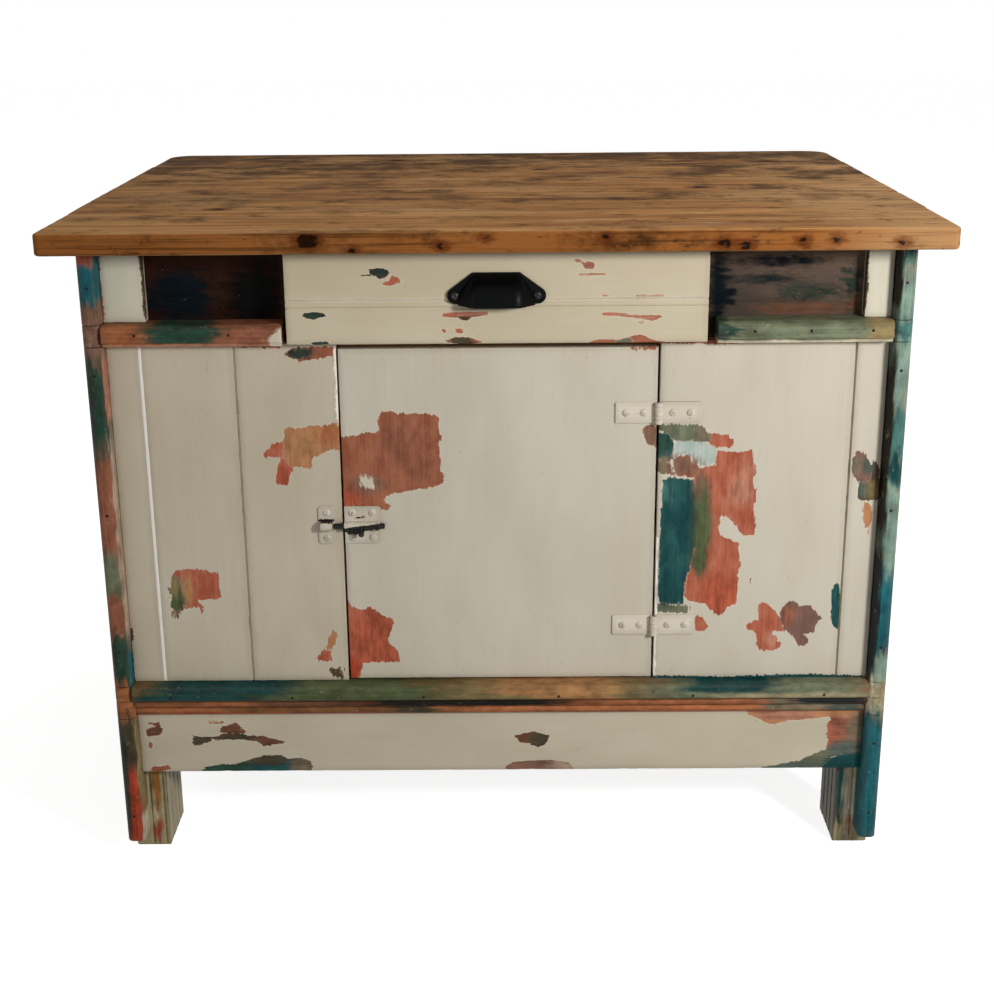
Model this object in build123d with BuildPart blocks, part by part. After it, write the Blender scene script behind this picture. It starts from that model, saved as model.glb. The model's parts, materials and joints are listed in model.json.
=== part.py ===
from build123d import *
import math
import os

# Low island unit: a plank cupboard on four legs with one drawer, one bolted door and a board worktop.
# Sizes are in millimetres. X runs to the right along the front, Y from the front to the back, Z up.
# The origin is on the floor under the middle of the worktop.

# Worktop
UNIT_HEIGHT = 790.0
TOP_WIDTH = 1000.0
TOP_DEPTH = 780.0
TOP_THICKNESS = 25.0
TOP_OVERHANG_SIDE = 33.0
TOP_OVERHANG_FRONT = 40.0
TOP_BOARD_COUNT = 5
TOP_FRONT_CORNER = 8.0
TOP_BACK_CORNER = 36.0
TOP_EDGE_EASE = 2.0
BATTEN_WIDTH = 32.0
BATTEN_HEIGHT = 22.0

# Steps of the front
RAIL_PROUD = 20.0
BOARD_THICKNESS = 16.0
BOARD_GAP = 1.5
BOARD_EASE = 1.5

# Legs
LEG_THICKNESS = 43.0
LEG_DEPTH = 82.0
LEG_SETBACK = 4.0
LEG_GROOVE_COUNT = 3
LEG_GROOVE_DEPTH = 2.5
LEG_STRIP_WIDTH = 16.0
LEG_STRIP_INSET = 6.0
LEG_FOOT_CHAMFER = 2.0

# Rounded beads on the two front corners
BEAD_WIDTH = 22.0
BEAD_PROUD = 17.0
BEAD_RADIUS = 8.0
BEAD_FOOT_GAP = 25.0
BEAD_JOINT = 0.5

# Levels of the front: the foot measured from the floor, the drawer bay from the worktop
APRON_BOTTOM = 113.0
APRON_HEIGHT = 80.0
MOULDING_HEIGHT = 23.0
MOULDING_PROUD = 12.0
MOULDING_DIP = 5.0
LOWER_RAIL_HEIGHT = 20.0
LOWER_RAIL_RADIUS = 6.0
DRAWER_BAY_HEIGHT = 110.0
UPPER_RAIL_HEIGHT = 25.0
UPPER_RAIL_RADIUS = 9.0
RAIL_LIP_HEIGHT = 5.0
RAIL_LIP_STEP = 4.0

# Widths across the front
LEFT_STILE_WIDTH = 37.0
RIGHT_STILE_WIDTH = 36.0
OUTER_PLANK_WIDTH = 106.0
LEFT_SHORT_STILE_WIDTH = 48.0
RIGHT_SHORT_STILE_WIDTH = 31.0
PANEL_THICKNESS = 12.0
PANEL_DRAWER_GAP = 4.0

# Door
DOOR_WIDTH = 365.0
DOOR_OFFSET = 1.0
DOOR_LATCH_GAP = 2.0
DOOR_HINGE_GAP = 2.5
DOOR_SILL_GAP = 2.5
DOOR_HEAD_GAP = 7.0
DOOR_BACK_GAP = 0.5
LEDGE_HEIGHT = 60.0
LEDGE_THICKNESS = 18.0
LEDGE_INSET = 20.0

# Hinges
HINGE_FROM_DOOR_TOP = 77.0
HINGE_FROM_DOOR_BOTTOM = 69.0
LEAF_LENGTH = 44.5
LEAF_HEIGHT = 25.0
LEAF_THICKNESS = 2.0
LEAF_CORNER_RADIUS = 2.0
KNUCKLE_COUNT = 5
KNUCKLE_RADIUS = 4.5
KNUCKLE_GAP = 0.3
HINGE_FACE_GAP = 0.5
PIN_RADIUS = 2.0
PIN_FIT = 0.05
PIN_END = 1.0

# Sliding bolt and its keeper
BOLT_RISE = 198.0
BOLT_PLATE_WIDTH = 42.0
BOLT_PLATE_HEIGHT = 46.0
BOLT_PLATE_THICKNESS = 1.5
BOLT_PLATE_EDGE = 0.5
BOLT_PLATE_CORNER = 4.5
BOLT_STRAP_WIDTH = 5.0
BOLT_STRAP_WALL = 1.6
ROD_RADIUS = 3.5
ROD_FIT = 0.08
ROD_PLATE_GAP = 0.7
ROD_TIP_CHAMFER = 1.0
ROD_LENGTH = 60.0
KNOB_RADIUS = 3.2
KNOB_LENGTH = 6.0
KNOB_CHAMFER = 1.2
KNOB_STEM_RADIUS = 1.6
KNOB_REACH = 7.0
KNOB_SLOPE = 55.0
KNOB_FROM_ROD_END = 27.5
KEEPER_WIDTH = 20.5
KEEPER_HEIGHT = 47.0
KEEPER_CORNER = 4.5
KEEPER_GAP = 8.0
KEEPER_LOOP_LENGTH = 14.0
KEEPER_LOOP_INSET = 3.5
KEEPER_LOOP_WALL = 1.6
KEEPER_CLEARANCE = 0.7
KEEPER_TIP_GAP = 1.5

# Drawer
DRAWER_FRONT_WIDTH = 472.0
DRAWER_FRONT_EDGE = 2.0
DRAWER_TOP_GAP = 3.0
DRAWER_BOTTOM_GAP = 2.0
DRAWER_BEAD_HEIGHT = 8.0
DRAWER_BEAD_RISE = 45.0
DRAWER_QUIRK_DEPTH = 2.0
DRAWER_RAIL_GAP_LEFT = 6.0
DRAWER_RAIL_GAP_RIGHT = 12.0
DRAWER_REAR_ROOM = 80.0
DRAWER_BOX_HEIGHT = 90.0
DRAWER_BOX_INSET = 10.0
DRAWER_SIDE_THICKNESS = 12.0
DRAWER_BOTTOM_THICKNESS = 6.0
DRAWER_BOTTOM_RISE = 8.0
DRAWER_GROOVE_DEPTH = 5.0
DRAWER_LIFT = 1.0
DRAWER_RUN_GAP = 0.3
DRAWER_GUIDE_GAP = 1.0
DRAWER_STOP_GAP = 0.5
RUNNER_HEIGHT = 20.0
RUNNER_BEARING = 16.0
GUIDE_WIDTH = 23.0
GUIDE_HEIGHT = 35.0
STOP_LENGTH = 20.0

# Cup pull
PULL_HEIGHT = 36.0
PULL_REACH = 25.0
PULL_RISE = 45.0
PULL_FLANGE_EDGE = 1.0
PULL_CROWN_WIDTH = 52.0
PULL_CROWN_RADIUS = 16.0
PULL_CROWN_SETTING = 2.0
PULL_CHEEK_WIDTH = 86.0
PULL_CHEEK_REACH = 6.0
PULL_CHEEK_RADIUS = 5.0
PULL_WALL = 2.6
PULL_LUG_RADIUS = 9.0
PULL_LUG_THICKNESS = 3.0
PULL_LUG_RISE = 10.0
PULL_LUG_SPREAD = 92.0
PULL_SCREW_RADIUS = 2.2

# Frame inside the body
DRAWER_RAIL_HEIGHT = 30.0
DRAWER_RAIL_DEPTH = 40.0
DRAWER_RAIL_DROP = 3.0
FLOOR_RAIL_HEIGHT = 51.0
FLOOR_RAIL_THICKNESS = 24.0
REAR_RAIL_HEIGHT = 70.0
FLOOR_THICKNESS = 16.0
FLOOR_BOARD_COUNT = 6
BACK_BOARD_COUNT = 8
SIDE_RAIL_THICKNESS = 20.0
SIDE_TOP_RAIL_HEIGHT = 68.0
SIDE_BOARD_COUNT = 5
SIDE_BOARD_THICKNESS = 14.0
SIDE_BOARD_INSET = 4.0

# Planes across the depth
body_depth = TOP_DEPTH - 2 * TOP_OVERHANG_FRONT
rail_face = -body_depth / 2
board_face = rail_face + RAIL_PROUD
frame_face = board_face + BOARD_THICKNESS
bead_face = board_face - BEAD_PROUD
body_back = body_depth / 2
frame_back = body_back - BOARD_THICKNESS
front_leg_back = frame_face + LEG_DEPTH
rear_leg_front = frame_back - LEG_DEPTH

# Planes across the width, given for the right-hand side
body_width = TOP_WIDTH - 2 * TOP_OVERHANG_SIDE
bead_outer = body_width / 2
bead_inner = bead_outer - BEAD_WIDTH
leg_outer = bead_outer - LEG_SETBACK
leg_inner = leg_outer - LEG_THICKNESS

# Levels
top_underside = UNIT_HEIGHT - TOP_THICKNESS
apron_top = APRON_BOTTOM + APRON_HEIGHT
moulding_top = apron_top + MOULDING_HEIGHT
lower_rail_top = moulding_top + LOWER_RAIL_HEIGHT
upper_rail_bottom = top_underside - DRAWER_BAY_HEIGHT
upper_rail_top = upper_rail_bottom + UPPER_RAIL_HEIGHT
drawer_rail_top = upper_rail_bottom - DRAWER_RAIL_DROP

# Door outline
door_left = DOOR_OFFSET - DOOR_WIDTH / 2
door_right = DOOR_OFFSET + DOOR_WIDTH / 2
door_bottom = lower_rail_top + DOOR_SILL_GAP
door_top = upper_rail_bottom - DOOR_HEAD_GAP
door_back = frame_face - DOOR_BACK_GAP
opening_left = door_left - DOOR_LATCH_GAP
opening_right = door_right + DOOR_HINGE_GAP

os.makedirs("parts", exist_ok=True)


def save(builder, name):
    """Label a finished piece and write it under its own name."""
    builder.part.label = name
    export_step(builder.part, f"parts/{name}.step")


def slab(x_span, y_span, z_span, mode=Mode.ADD):
    """Add a square-edged block between six planes to the piece being built, or cut it away."""
    spans = (x_span, y_span, z_span)
    centre = tuple((low + high) / 2 for low, high in spans)
    with Locations(centre):
        Box(*(high - low for low, high in spans), mode=mode)


def plain_board(name, x_span, y_span, z_span):
    """Make a square-edged board."""
    with BuildPart() as board:
        slab(x_span, y_span, z_span)
    save(board, name)


def front_board(name, x_span, y_span, z_span):
    """Make an upright board with its two long front edges eased."""
    with BuildPart() as board:
        slab(x_span, y_span, z_span)
        front = board.faces().sort_by(Axis.Y)[0]
        chamfer(front.edges().filter_by(Axis.Z), BOARD_EASE)
    save(board, name)


def row_spans(start, end, count):
    """Share a width among a row of boards with gaps between them."""
    width = (end - start - (count - 1) * BOARD_GAP) / count
    pitch = width + BOARD_GAP
    return [(start + index * pitch, start + index * pitch + width) for index in range(count)]


def mirrored(x_span, side):
    """Take a right-hand span to the side given by +1 or -1."""
    return tuple(sorted(side * x for x in x_span))


SIDES = {"left": -1, "right": 1}

# Worktop: one rounded slab sawn into boards that lie along the front
with BuildPart() as worktop:
    with BuildSketch(Plane.XY.offset(top_underside)) as top_outline:
        Rectangle(TOP_WIDTH, TOP_DEPTH)
        fillet(top_outline.vertices().group_by(Axis.Y)[0], TOP_FRONT_CORNER)
        fillet(top_outline.vertices().group_by(Axis.Y)[-1], TOP_BACK_CORNER)
    extrude(amount=TOP_THICKNESS)
    for face in (worktop.faces().sort_by(Axis.Z)[0], worktop.faces().sort_by(Axis.Z)[-1]):
        chamfer(face.edges(), TOP_EDGE_EASE)

top_board_depth = TOP_DEPTH / TOP_BOARD_COUNT
for number in range(TOP_BOARD_COUNT):
    board_middle = (number + 0.5) * top_board_depth - TOP_DEPTH / 2
    with BuildPart() as top_board:
        add(worktop.part)
        with Locations((0, board_middle, top_underside + TOP_THICKNESS / 2)):
            Box(TOP_WIDTH, top_board_depth, TOP_THICKNESS, mode=Mode.INTERSECT)
    save(top_board, f"top_board_{number + 1}")

# Battens under the worktop, against the legs
for side_name, side in SIDES.items():
    plain_board(
        f"top_batten_{side_name}",
        mirrored((leg_inner - BATTEN_WIDTH, leg_inner), side),
        (frame_face + PANEL_THICKNESS, frame_back),
        (top_underside - BATTEN_HEIGHT, top_underside),
    )


def make_leg(name, side, y_span, outward):
    """Make a leg with a strip on its outward edge and grooves down its inner face.

    outward is -1 for a leg at the front and +1 for a leg at the back.
    """
    edge = y_span[0] if outward < 0 else y_span[1]
    strip_middle = leg_inner + LEG_STRIP_INSET + LEG_STRIP_WIDTH / 2
    groove_pitch = LEG_DEPTH / (LEG_GROOVE_COUNT + 1)
    grooves = [y_span[0] + (index + 1) * groove_pitch for index in range(LEG_GROOVE_COUNT)]
    groove_side = LEG_GROOVE_DEPTH * math.sqrt(2)
    with BuildPart() as leg:
        slab(mirrored((leg_inner, leg_outer), side), y_span, (0, top_underside))
        chamfer(leg.faces().sort_by(Axis.Z)[0].edges(), LEG_FOOT_CHAMFER)
        with BuildSketch():
            with Locations(*[(side * leg_inner, y) for y in grooves]):
                Rectangle(groove_side, groove_side, rotation=45)
            with Locations((side * strip_middle, edge)):
                with GridLocations(LEG_STRIP_WIDTH, 0, 2, 1):
                    Rectangle(groove_side, groove_side, rotation=45)
        extrude(amount=top_underside, mode=Mode.SUBTRACT)
    save(leg, name)


for side_name, side in SIDES.items():
    make_leg(f"leg_front_{side_name}", side, (frame_face, front_leg_back), -1)
    make_leg(f"leg_rear_{side_name}", side, (rear_leg_front, frame_back), 1)

# Corner beads: rounded lengths stacked on each front corner, parted at the level of each rail
bead_levels = [
    BEAD_FOOT_GAP,
    apron_top,
    moulding_top,
    lower_rail_top,
    upper_rail_bottom,
    upper_rail_top,
    top_underside,
]
for side_name, side in SIDES.items():
    with BuildPart() as corner_bead:
        for low, high in zip(bead_levels, bead_levels[1:]):
            with BuildSketch(Plane.XY.offset(low)) as bead_section:
                with Locations((side * (bead_inner + BEAD_WIDTH / 2), frame_face)):
                    Rectangle(BEAD_WIDTH, frame_face - bead_face, align=(Align.CENTER, Align.MAX))
                fillet(bead_section.vertices().group_by(Axis.Y)[0], min(BEAD_RADIUS, 0.49 * BEAD_WIDTH))
            extrude(amount=high - low - BEAD_JOINT)
    save(corner_bead, f"corner_bead_{side_name}")


def make_upper_rail(name, x_span):
    """Make a length of the upper rail: a rounded nose over a small lip."""
    with BuildPart() as rail:
        with BuildSketch(Plane.YZ.offset(x_span[0])) as section:
            with Locations((frame_face, upper_rail_bottom)):
                Rectangle(frame_face - rail_face, UPPER_RAIL_HEIGHT, align=(Align.MAX, Align.MIN))
            front_corners = section.vertices().group_by(Axis.X)[0]
            fillet(front_corners.sort_by(Axis.Y)[-1], UPPER_RAIL_RADIUS)
            with Locations((rail_face, upper_rail_bottom)):
                Rectangle(RAIL_LIP_STEP, RAIL_LIP_HEIGHT, align=(Align.MIN, Align.MIN), mode=Mode.SUBTRACT)
        extrude(amount=x_span[1] - x_span[0])
    save(rail, name)


drawer_edge = DRAWER_FRONT_WIDTH / 2
make_upper_rail("upper_rail_left", (-bead_inner, -drawer_edge - DRAWER_RAIL_GAP_LEFT))
make_upper_rail("upper_rail_right", (drawer_edge + DRAWER_RAIL_GAP_RIGHT, bead_inner))

# Lower rail: a rounded sill between the corner beads
with BuildPart() as lower_rail:
    with BuildSketch(Plane.YZ.offset(-bead_inner)) as sill_section:
        with Locations((frame_face, moulding_top)):
            Rectangle(frame_face - rail_face, LOWER_RAIL_HEIGHT, align=(Align.MAX, Align.MIN))
        fillet(sill_section.vertices().group_by(Axis.X)[0], LOWER_RAIL_RADIUS)
    extrude(amount=2 * bead_inner)
save(lower_rail, "lower_rail")

# Moulding under the sill: two ridges, the upper one further out
ridge_height = MOULDING_HEIGHT / 2
moulding_middle = apron_top + ridge_height
lower_ridge = board_face - MOULDING_PROUD + MOULDING_DIP
upper_ridge = board_face - MOULDING_PROUD
lower_back = lower_ridge + MOULDING_DIP
upper_back = upper_ridge + MOULDING_DIP
with BuildPart() as lower_moulding:
    with BuildSketch(Plane.YZ.offset(-bead_inner)):
        with BuildLine():
            Line((frame_face, apron_top), (lower_back, apron_top))
            ThreePointArc(
                (lower_back, apron_top),
                (lower_ridge, apron_top + ridge_height / 2),
                (lower_back, moulding_middle),
            )
            Line((lower_back, moulding_middle), (upper_back, moulding_middle))
            ThreePointArc(
                (upper_back, moulding_middle),
                (upper_ridge, moulding_middle + ridge_height / 2),
                (upper_back, moulding_top),
            )
            Line((upper_back, moulding_top), (frame_face, moulding_top))
            Line((frame_face, moulding_top), (frame_face, apron_top))
        make_face()
    extrude(amount=2 * bead_inner)
save(lower_moulding, "lower_moulding")

# Boards of the front, between the corner beads
face_span = (board_face, frame_face)
plank_span = (lower_rail_top, upper_rail_bottom)
drawer_span = (upper_rail_top, top_underside)
left_stile_edge = -bead_inner + LEFT_STILE_WIDTH
right_stile_edge = bead_inner - RIGHT_STILE_WIDTH
outer_plank_left = left_stile_edge + BOARD_GAP
outer_plank_right = outer_plank_left + OUTER_PLANK_WIDTH
plain_board("apron_front", (-bead_inner, bead_inner), face_span, (APRON_BOTTOM, apron_top))
front_board("stile_left", (-bead_inner, left_stile_edge), face_span, plank_span)
front_board("stile_right", (right_stile_edge, bead_inner), face_span, plank_span)
front_board("plank_left_outer", (outer_plank_left, outer_plank_right), face_span, plank_span)
front_board("plank_left_inner", (outer_plank_right + BOARD_GAP, opening_left), face_span, plank_span)
front_board("plank_right", (opening_right, right_stile_edge - BOARD_GAP), face_span, plank_span)
front_board("short_stile_left", (-bead_inner, -bead_inner + LEFT_SHORT_STILE_WIDTH), face_span, drawer_span)
front_board("short_stile_right", (bead_inner - RIGHT_SHORT_STILE_WIDTH, bead_inner), face_span, drawer_span)

# Dark panels beside the drawer, set back behind the short stiles
for side_name, side in SIDES.items():
    plain_board(
        f"recess_panel_{side_name}",
        mirrored((drawer_edge + PANEL_DRAWER_GAP, leg_inner), side),
        (frame_face, frame_face + PANEL_THICKNESS),
        (drawer_rail_top, top_underside),
    )

# Rails between the legs, the cupboard floor and the back
between_legs = (-leg_inner, leg_inner)
drawer_rail_back = frame_face + DRAWER_RAIL_DEPTH
rear_rail_front = frame_back - FLOOR_RAIL_THICKNESS
floor_rail_span = (moulding_top - FLOOR_RAIL_HEIGHT, moulding_top)
plain_board(
    "drawer_rail",
    between_legs,
    (frame_face, drawer_rail_back),
    (drawer_rail_top - DRAWER_RAIL_HEIGHT, drawer_rail_top),
)
floor_rail_back = frame_face + FLOOR_RAIL_THICKNESS
plain_board("floor_rail_front", between_legs, (frame_face, floor_rail_back), floor_rail_span)
plain_board("floor_rail_rear", between_legs, (rear_rail_front, frame_back), floor_rail_span)
plain_board(
    "rear_rail",
    between_legs,
    (rear_rail_front, frame_back),
    (drawer_rail_top - DRAWER_RAIL_HEIGHT, drawer_rail_top - DRAWER_RAIL_HEIGHT + REAR_RAIL_HEIGHT),
)

# Cupboard floor: boards from front to back, the outer ones notched round the legs
side_board_face = leg_outer - SIDE_BOARD_INSET
side_board_back = side_board_face - SIDE_BOARD_THICKNESS
floor_span = (moulding_top, moulding_top + FLOOR_THICKNESS)
with BuildPart() as floor_boards:
    for span in row_spans(-side_board_back, side_board_back, FLOOR_BOARD_COUNT):
        slab(span, (frame_face, frame_back), floor_span)
    for side in SIDES.values():
        for leg_span in ((frame_face, front_leg_back), (rear_leg_front, frame_back)):
            slab(mirrored((leg_inner, leg_outer), side), leg_span, floor_span, mode=Mode.SUBTRACT)
save(floor_boards, "floor_boards")

with BuildPart() as back_boards:
    for span in row_spans(-leg_outer, leg_outer, BACK_BOARD_COUNT):
        slab(span, (frame_back, body_back), (APRON_BOTTOM, top_underside))
    rear_faces = back_boards.faces().filter_by(Axis.Y).group_by(Axis.Y)[-1]
    chamfer(rear_faces.edges().filter_by(Axis.Z), BOARD_EASE)
save(back_boards, "back_boards")

# Sides: upright boards between a top rail and a bottom rail, from leg to leg
side_span = (front_leg_back, rear_leg_front)
side_top_rail_bottom = top_underside - SIDE_TOP_RAIL_HEIGHT
for side_name, side in SIDES.items():
    rail_span = mirrored((leg_outer - SIDE_RAIL_THICKNESS, leg_outer), side)
    plain_board(f"side_rail_lower_{side_name}", rail_span, side_span, (APRON_BOTTOM, apron_top))
    plain_board(f"side_rail_upper_{side_name}", rail_span, side_span, (side_top_rail_bottom, top_underside))
    with BuildPart() as side_boards:
        for span in row_spans(*side_span, SIDE_BOARD_COUNT):
            board_span = mirrored((side_board_back, side_board_face), side)
            slab(board_span, span, (apron_top, side_top_rail_bottom))
        outer_faces = side_boards.faces().filter_by(Axis.X).group_by(Axis.X)[-1 if side > 0 else 0]
        chamfer(outer_faces.edges().filter_by(Axis.Z), BOARD_EASE)
    save(side_boards, f"side_boards_{side_name}")

# Drawer: grooved box behind a beaded front that lies flush with the rails
drawer_bottom = upper_rail_bottom + DRAWER_LIFT
drawer_front_bottom = upper_rail_bottom + DRAWER_BOTTOM_GAP
drawer_front_top = top_underside - DRAWER_TOP_GAP
drawer_outer = drawer_edge - DRAWER_BOX_INSET
drawer_inner = drawer_outer - DRAWER_SIDE_THICKNESS
drawer_back = rear_rail_front - DRAWER_REAR_ROOM
drawer_length = drawer_back - board_face
drawer_box_top = drawer_bottom + DRAWER_BOX_HEIGHT
panel_bottom = drawer_bottom + DRAWER_BOTTOM_RISE
panel_top = panel_bottom + DRAWER_BOTTOM_THICKNESS
panel_width = 2 * (drawer_inner + DRAWER_GROOVE_DEPTH)
panel_length = drawer_length + DRAWER_GROOVE_DEPTH
panel_middle = (0, drawer_back - panel_length / 2, (panel_bottom + panel_top) / 2)

with BuildPart() as drawer_bottom_panel:
    with Locations(panel_middle):
        Box(panel_width, panel_length, DRAWER_BOTTOM_THICKNESS)
save(drawer_bottom_panel, "drawer_bottom")

bead_middle = drawer_front_bottom + DRAWER_BEAD_RISE
quirk_side = DRAWER_QUIRK_DEPTH * math.sqrt(2)
with BuildPart() as drawer_front:
    with BuildSketch(Plane.YZ.offset(-drawer_edge)) as front_section:
        with Locations((board_face, drawer_front_bottom)):
            Rectangle(RAIL_PROUD, drawer_front_top - drawer_front_bottom, align=(Align.MAX, Align.MIN))
        fillet(front_section.vertices().group_by(Axis.X)[0], DRAWER_FRONT_EDGE)
        with Locations((rail_face, bead_middle)):
            with GridLocations(0, DRAWER_BEAD_HEIGHT, 1, 2):
                Rectangle(quirk_side, quirk_side, rotation=45, mode=Mode.SUBTRACT)
    extrude(amount=DRAWER_FRONT_WIDTH)
    add(drawer_bottom_panel.part, mode=Mode.SUBTRACT)
save(drawer_front, "drawer_front")

for side_name, side in SIDES.items():
    with BuildPart() as drawer_side:
        slab(
            mirrored((drawer_inner, drawer_outer), side),
            (board_face, drawer_back),
            (drawer_bottom, drawer_box_top),
        )
        add(drawer_bottom_panel.part, mode=Mode.SUBTRACT)
    save(drawer_side, f"drawer_side_{side_name}")

plain_board(
    "drawer_back",
    (-drawer_inner, drawer_inner),
    (drawer_back - DRAWER_SIDE_THICKNESS, drawer_back),
    (panel_top, drawer_box_top),
)

# Runners carry the drawer sides, guides keep them straight and stops end their way in
runner_top = drawer_bottom - DRAWER_RUN_GAP
guide_inner = drawer_outer + DRAWER_GUIDE_GAP
guide_outer = guide_inner + GUIDE_WIDTH
runner_inner = drawer_outer - RUNNER_BEARING
runner_length = (drawer_rail_back, rear_rail_front)
stop_front = drawer_back + DRAWER_STOP_GAP
for side_name, side in SIDES.items():
    plain_board(
        f"drawer_runner_{side_name}",
        mirrored((runner_inner, guide_outer), side),
        runner_length,
        (runner_top - RUNNER_HEIGHT, runner_top),
    )
    plain_board(
        f"drawer_guide_{side_name}",
        mirrored((guide_inner, guide_outer), side),
        runner_length,
        (runner_top, runner_top + GUIDE_HEIGHT),
    )

with BuildPart() as drawer_stops:
    for side in SIDES.values():
        slab(
            mirrored((runner_inner, guide_inner), side),
            (stop_front, stop_front + STOP_LENGTH),
            (runner_top, runner_top + GUIDE_HEIGHT),
        )
save(drawer_stops, "drawer_stops")

# Cup pull: a hollow cast hood, open at the bottom and at the back, on a flange with two lugs.
# The hood is turned about a line behind the drawer's face, so that it is higher than its reach.
pull_rim = drawer_front_bottom + PULL_RISE
hood_height = PULL_HEIGHT - PULL_FLANGE_EDGE
hood_axis_back = (hood_height**2 - PULL_REACH**2) / (2 * PULL_REACH)
hood_place = Location((0, rail_face + hood_axis_back, pull_rim))


def pull_hood(wall):
    """Make the hood as a solid: rounded for its outside, or plain and drawn in by a wall for its hollow."""
    cheek = PULL_CHEEK_WIDTH / 2 - wall
    cheek_radius = hood_axis_back + PULL_CHEEK_REACH - wall
    crown_radius = hood_axis_back + PULL_REACH - wall
    crown = PULL_CROWN_WIDTH / 2 - PULL_CROWN_SETTING * wall
    with BuildPart() as hood:
        with BuildSketch(Plane.XZ) as outline:
            with BuildLine():
                Polyline(
                    (-cheek, 0),
                    (cheek, 0),
                    (cheek, cheek_radius),
                    (crown, crown_radius),
                    (-crown, crown_radius),
                    (-cheek, cheek_radius),
                    close=True,
                )
            make_face()
            if wall == 0:
                fillet(outline.vertices().group_by(Axis.Y)[1], PULL_CHEEK_RADIUS)
                fillet(outline.vertices().group_by(Axis.Y)[-1], PULL_CROWN_RADIUS)
        revolve(axis=Axis.X, revolution_arc=90)
        slab((-cheek, cheek), (-hood_axis_back, 0), (0, crown_radius), mode=Mode.SUBTRACT)
    return hood.part.moved(hood_place)


with BuildPart() as cup_pull:
    add(pull_hood(0))
    with BuildSketch(Plane.XZ.offset(-rail_face)):
        with Locations((0, pull_rim + PULL_LUG_RISE)):
            with GridLocations(PULL_LUG_SPREAD, 0, 2, 1):
                Circle(PULL_LUG_RADIUS)
        with Locations((0, pull_rim + PULL_HEIGHT)):
            Rectangle(PULL_CROWN_WIDTH, PULL_LUG_THICKNESS, align=(Align.CENTER, Align.MAX))
        make_hull()
    extrude(amount=PULL_LUG_THICKNESS)
    add(pull_hood(PULL_WALL), mode=Mode.SUBTRACT)
    lug_middle = (0, rail_face - PULL_LUG_THICKNESS, pull_rim + PULL_LUG_RISE)
    with Locations(Plane(origin=lug_middle, x_dir=(1, 0, 0), z_dir=(0, -1, 0))):
        with GridLocations(PULL_LUG_SPREAD, 0, 2, 1):
            Hole(PULL_SCREW_RADIUS)
save(cup_pull, "cup_pull")

# Door: one board with two ledges across its back
with BuildPart() as door_panel:
    slab((door_left, door_right), (board_face, door_back), (door_bottom, door_top))
    chamfer(door_panel.faces().sort_by(Axis.Y)[0].edges(), BOARD_EASE)
save(door_panel, "door_panel")

hinge_heights = {
    "upper": door_top - HINGE_FROM_DOOR_TOP,
    "lower": door_bottom + HINGE_FROM_DOOR_BOTTOM,
}
for level, height in hinge_heights.items():
    plain_board(
        f"door_ledge_{level}",
        (door_left + LEDGE_INSET, door_right - LEDGE_INSET),
        (door_back, door_back + LEDGE_THICKNESS),
        (height - LEDGE_HEIGHT / 2, height + LEDGE_HEIGHT / 2),
    )

# Hinges: surface leaves whose knuckles take turns along the pin
hinge_x = door_right + DOOR_HINGE_GAP / 2
hinge_y = board_face - HINGE_FACE_GAP - KNUCKLE_RADIUS
leaf_root = KNUCKLE_RADIUS + KNUCKLE_GAP
leaf_tip = leaf_root + LEAF_LENGTH
knuckle_pitch = LEAF_HEIGHT / KNUCKLE_COUNT
leaf_span = (board_face - LEAF_THICKNESS, board_face)


def make_hinge_leaves(name, side, first_knuckle):
    """Make both leaves on one side of the pin, each with every second knuckle."""
    with BuildPart() as leaves:
        for height in hinge_heights.values():
            leaf_low = height - LEAF_HEIGHT / 2
            plate_span = sorted((hinge_x + side * leaf_root, hinge_x + side * leaf_tip))
            slab(plate_span, leaf_span, (leaf_low, leaf_low + LEAF_HEIGHT))
            for index in range(first_knuckle, KNUCKLE_COUNT, 2):
                knuckle_low = leaf_low + index * knuckle_pitch + KNUCKLE_GAP / 2
                knuckle_high = knuckle_low + knuckle_pitch - KNUCKLE_GAP
                tab_span = sorted((hinge_x, hinge_x + side * leaf_root))
                slab(tab_span, leaf_span, (knuckle_low, knuckle_high))
                with Locations((hinge_x, hinge_y, (knuckle_low + knuckle_high) / 2)):
                    Cylinder(KNUCKLE_RADIUS, knuckle_high - knuckle_low)
        tip_edges = leaves.edges().filter_by(Axis.Y).group_by(Axis.X)[-1 if side > 0 else 0]
        fillet(tip_edges, LEAF_CORNER_RADIUS)
        with Locations(*[(hinge_x, hinge_y, height) for height in hinge_heights.values()]):
            Cylinder(PIN_RADIUS + PIN_FIT, 2 * LEAF_HEIGHT, mode=Mode.SUBTRACT)
    save(leaves, name)


make_hinge_leaves("hinge_frame_leaves", 1, 0)
make_hinge_leaves("hinge_door_leaves", -1, 1)

with BuildPart() as hinge_pins:
    with Locations(*[(hinge_x, hinge_y, height) for height in hinge_heights.values()]):
        Cylinder(PIN_RADIUS, LEAF_HEIGHT + 2 * PIN_END)
save(hinge_pins, "hinge_pins")

# Sliding bolt: a plate with a casing open below on the door, a rod with a knob, and a looped keeper
bolt_z = door_bottom + BOLT_RISE
plate_face = board_face - BOLT_PLATE_THICKNESS
bolt_y = plate_face - ROD_PLATE_GAP - ROD_RADIUS
plate_left = door_left + BOLT_PLATE_EDGE
plate_right = plate_left + BOLT_PLATE_WIDTH
plate_middle = (plate_left + plate_right) / 2
strap_radius = ROD_RADIUS + ROD_FIT + BOLT_STRAP_WALL


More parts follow.
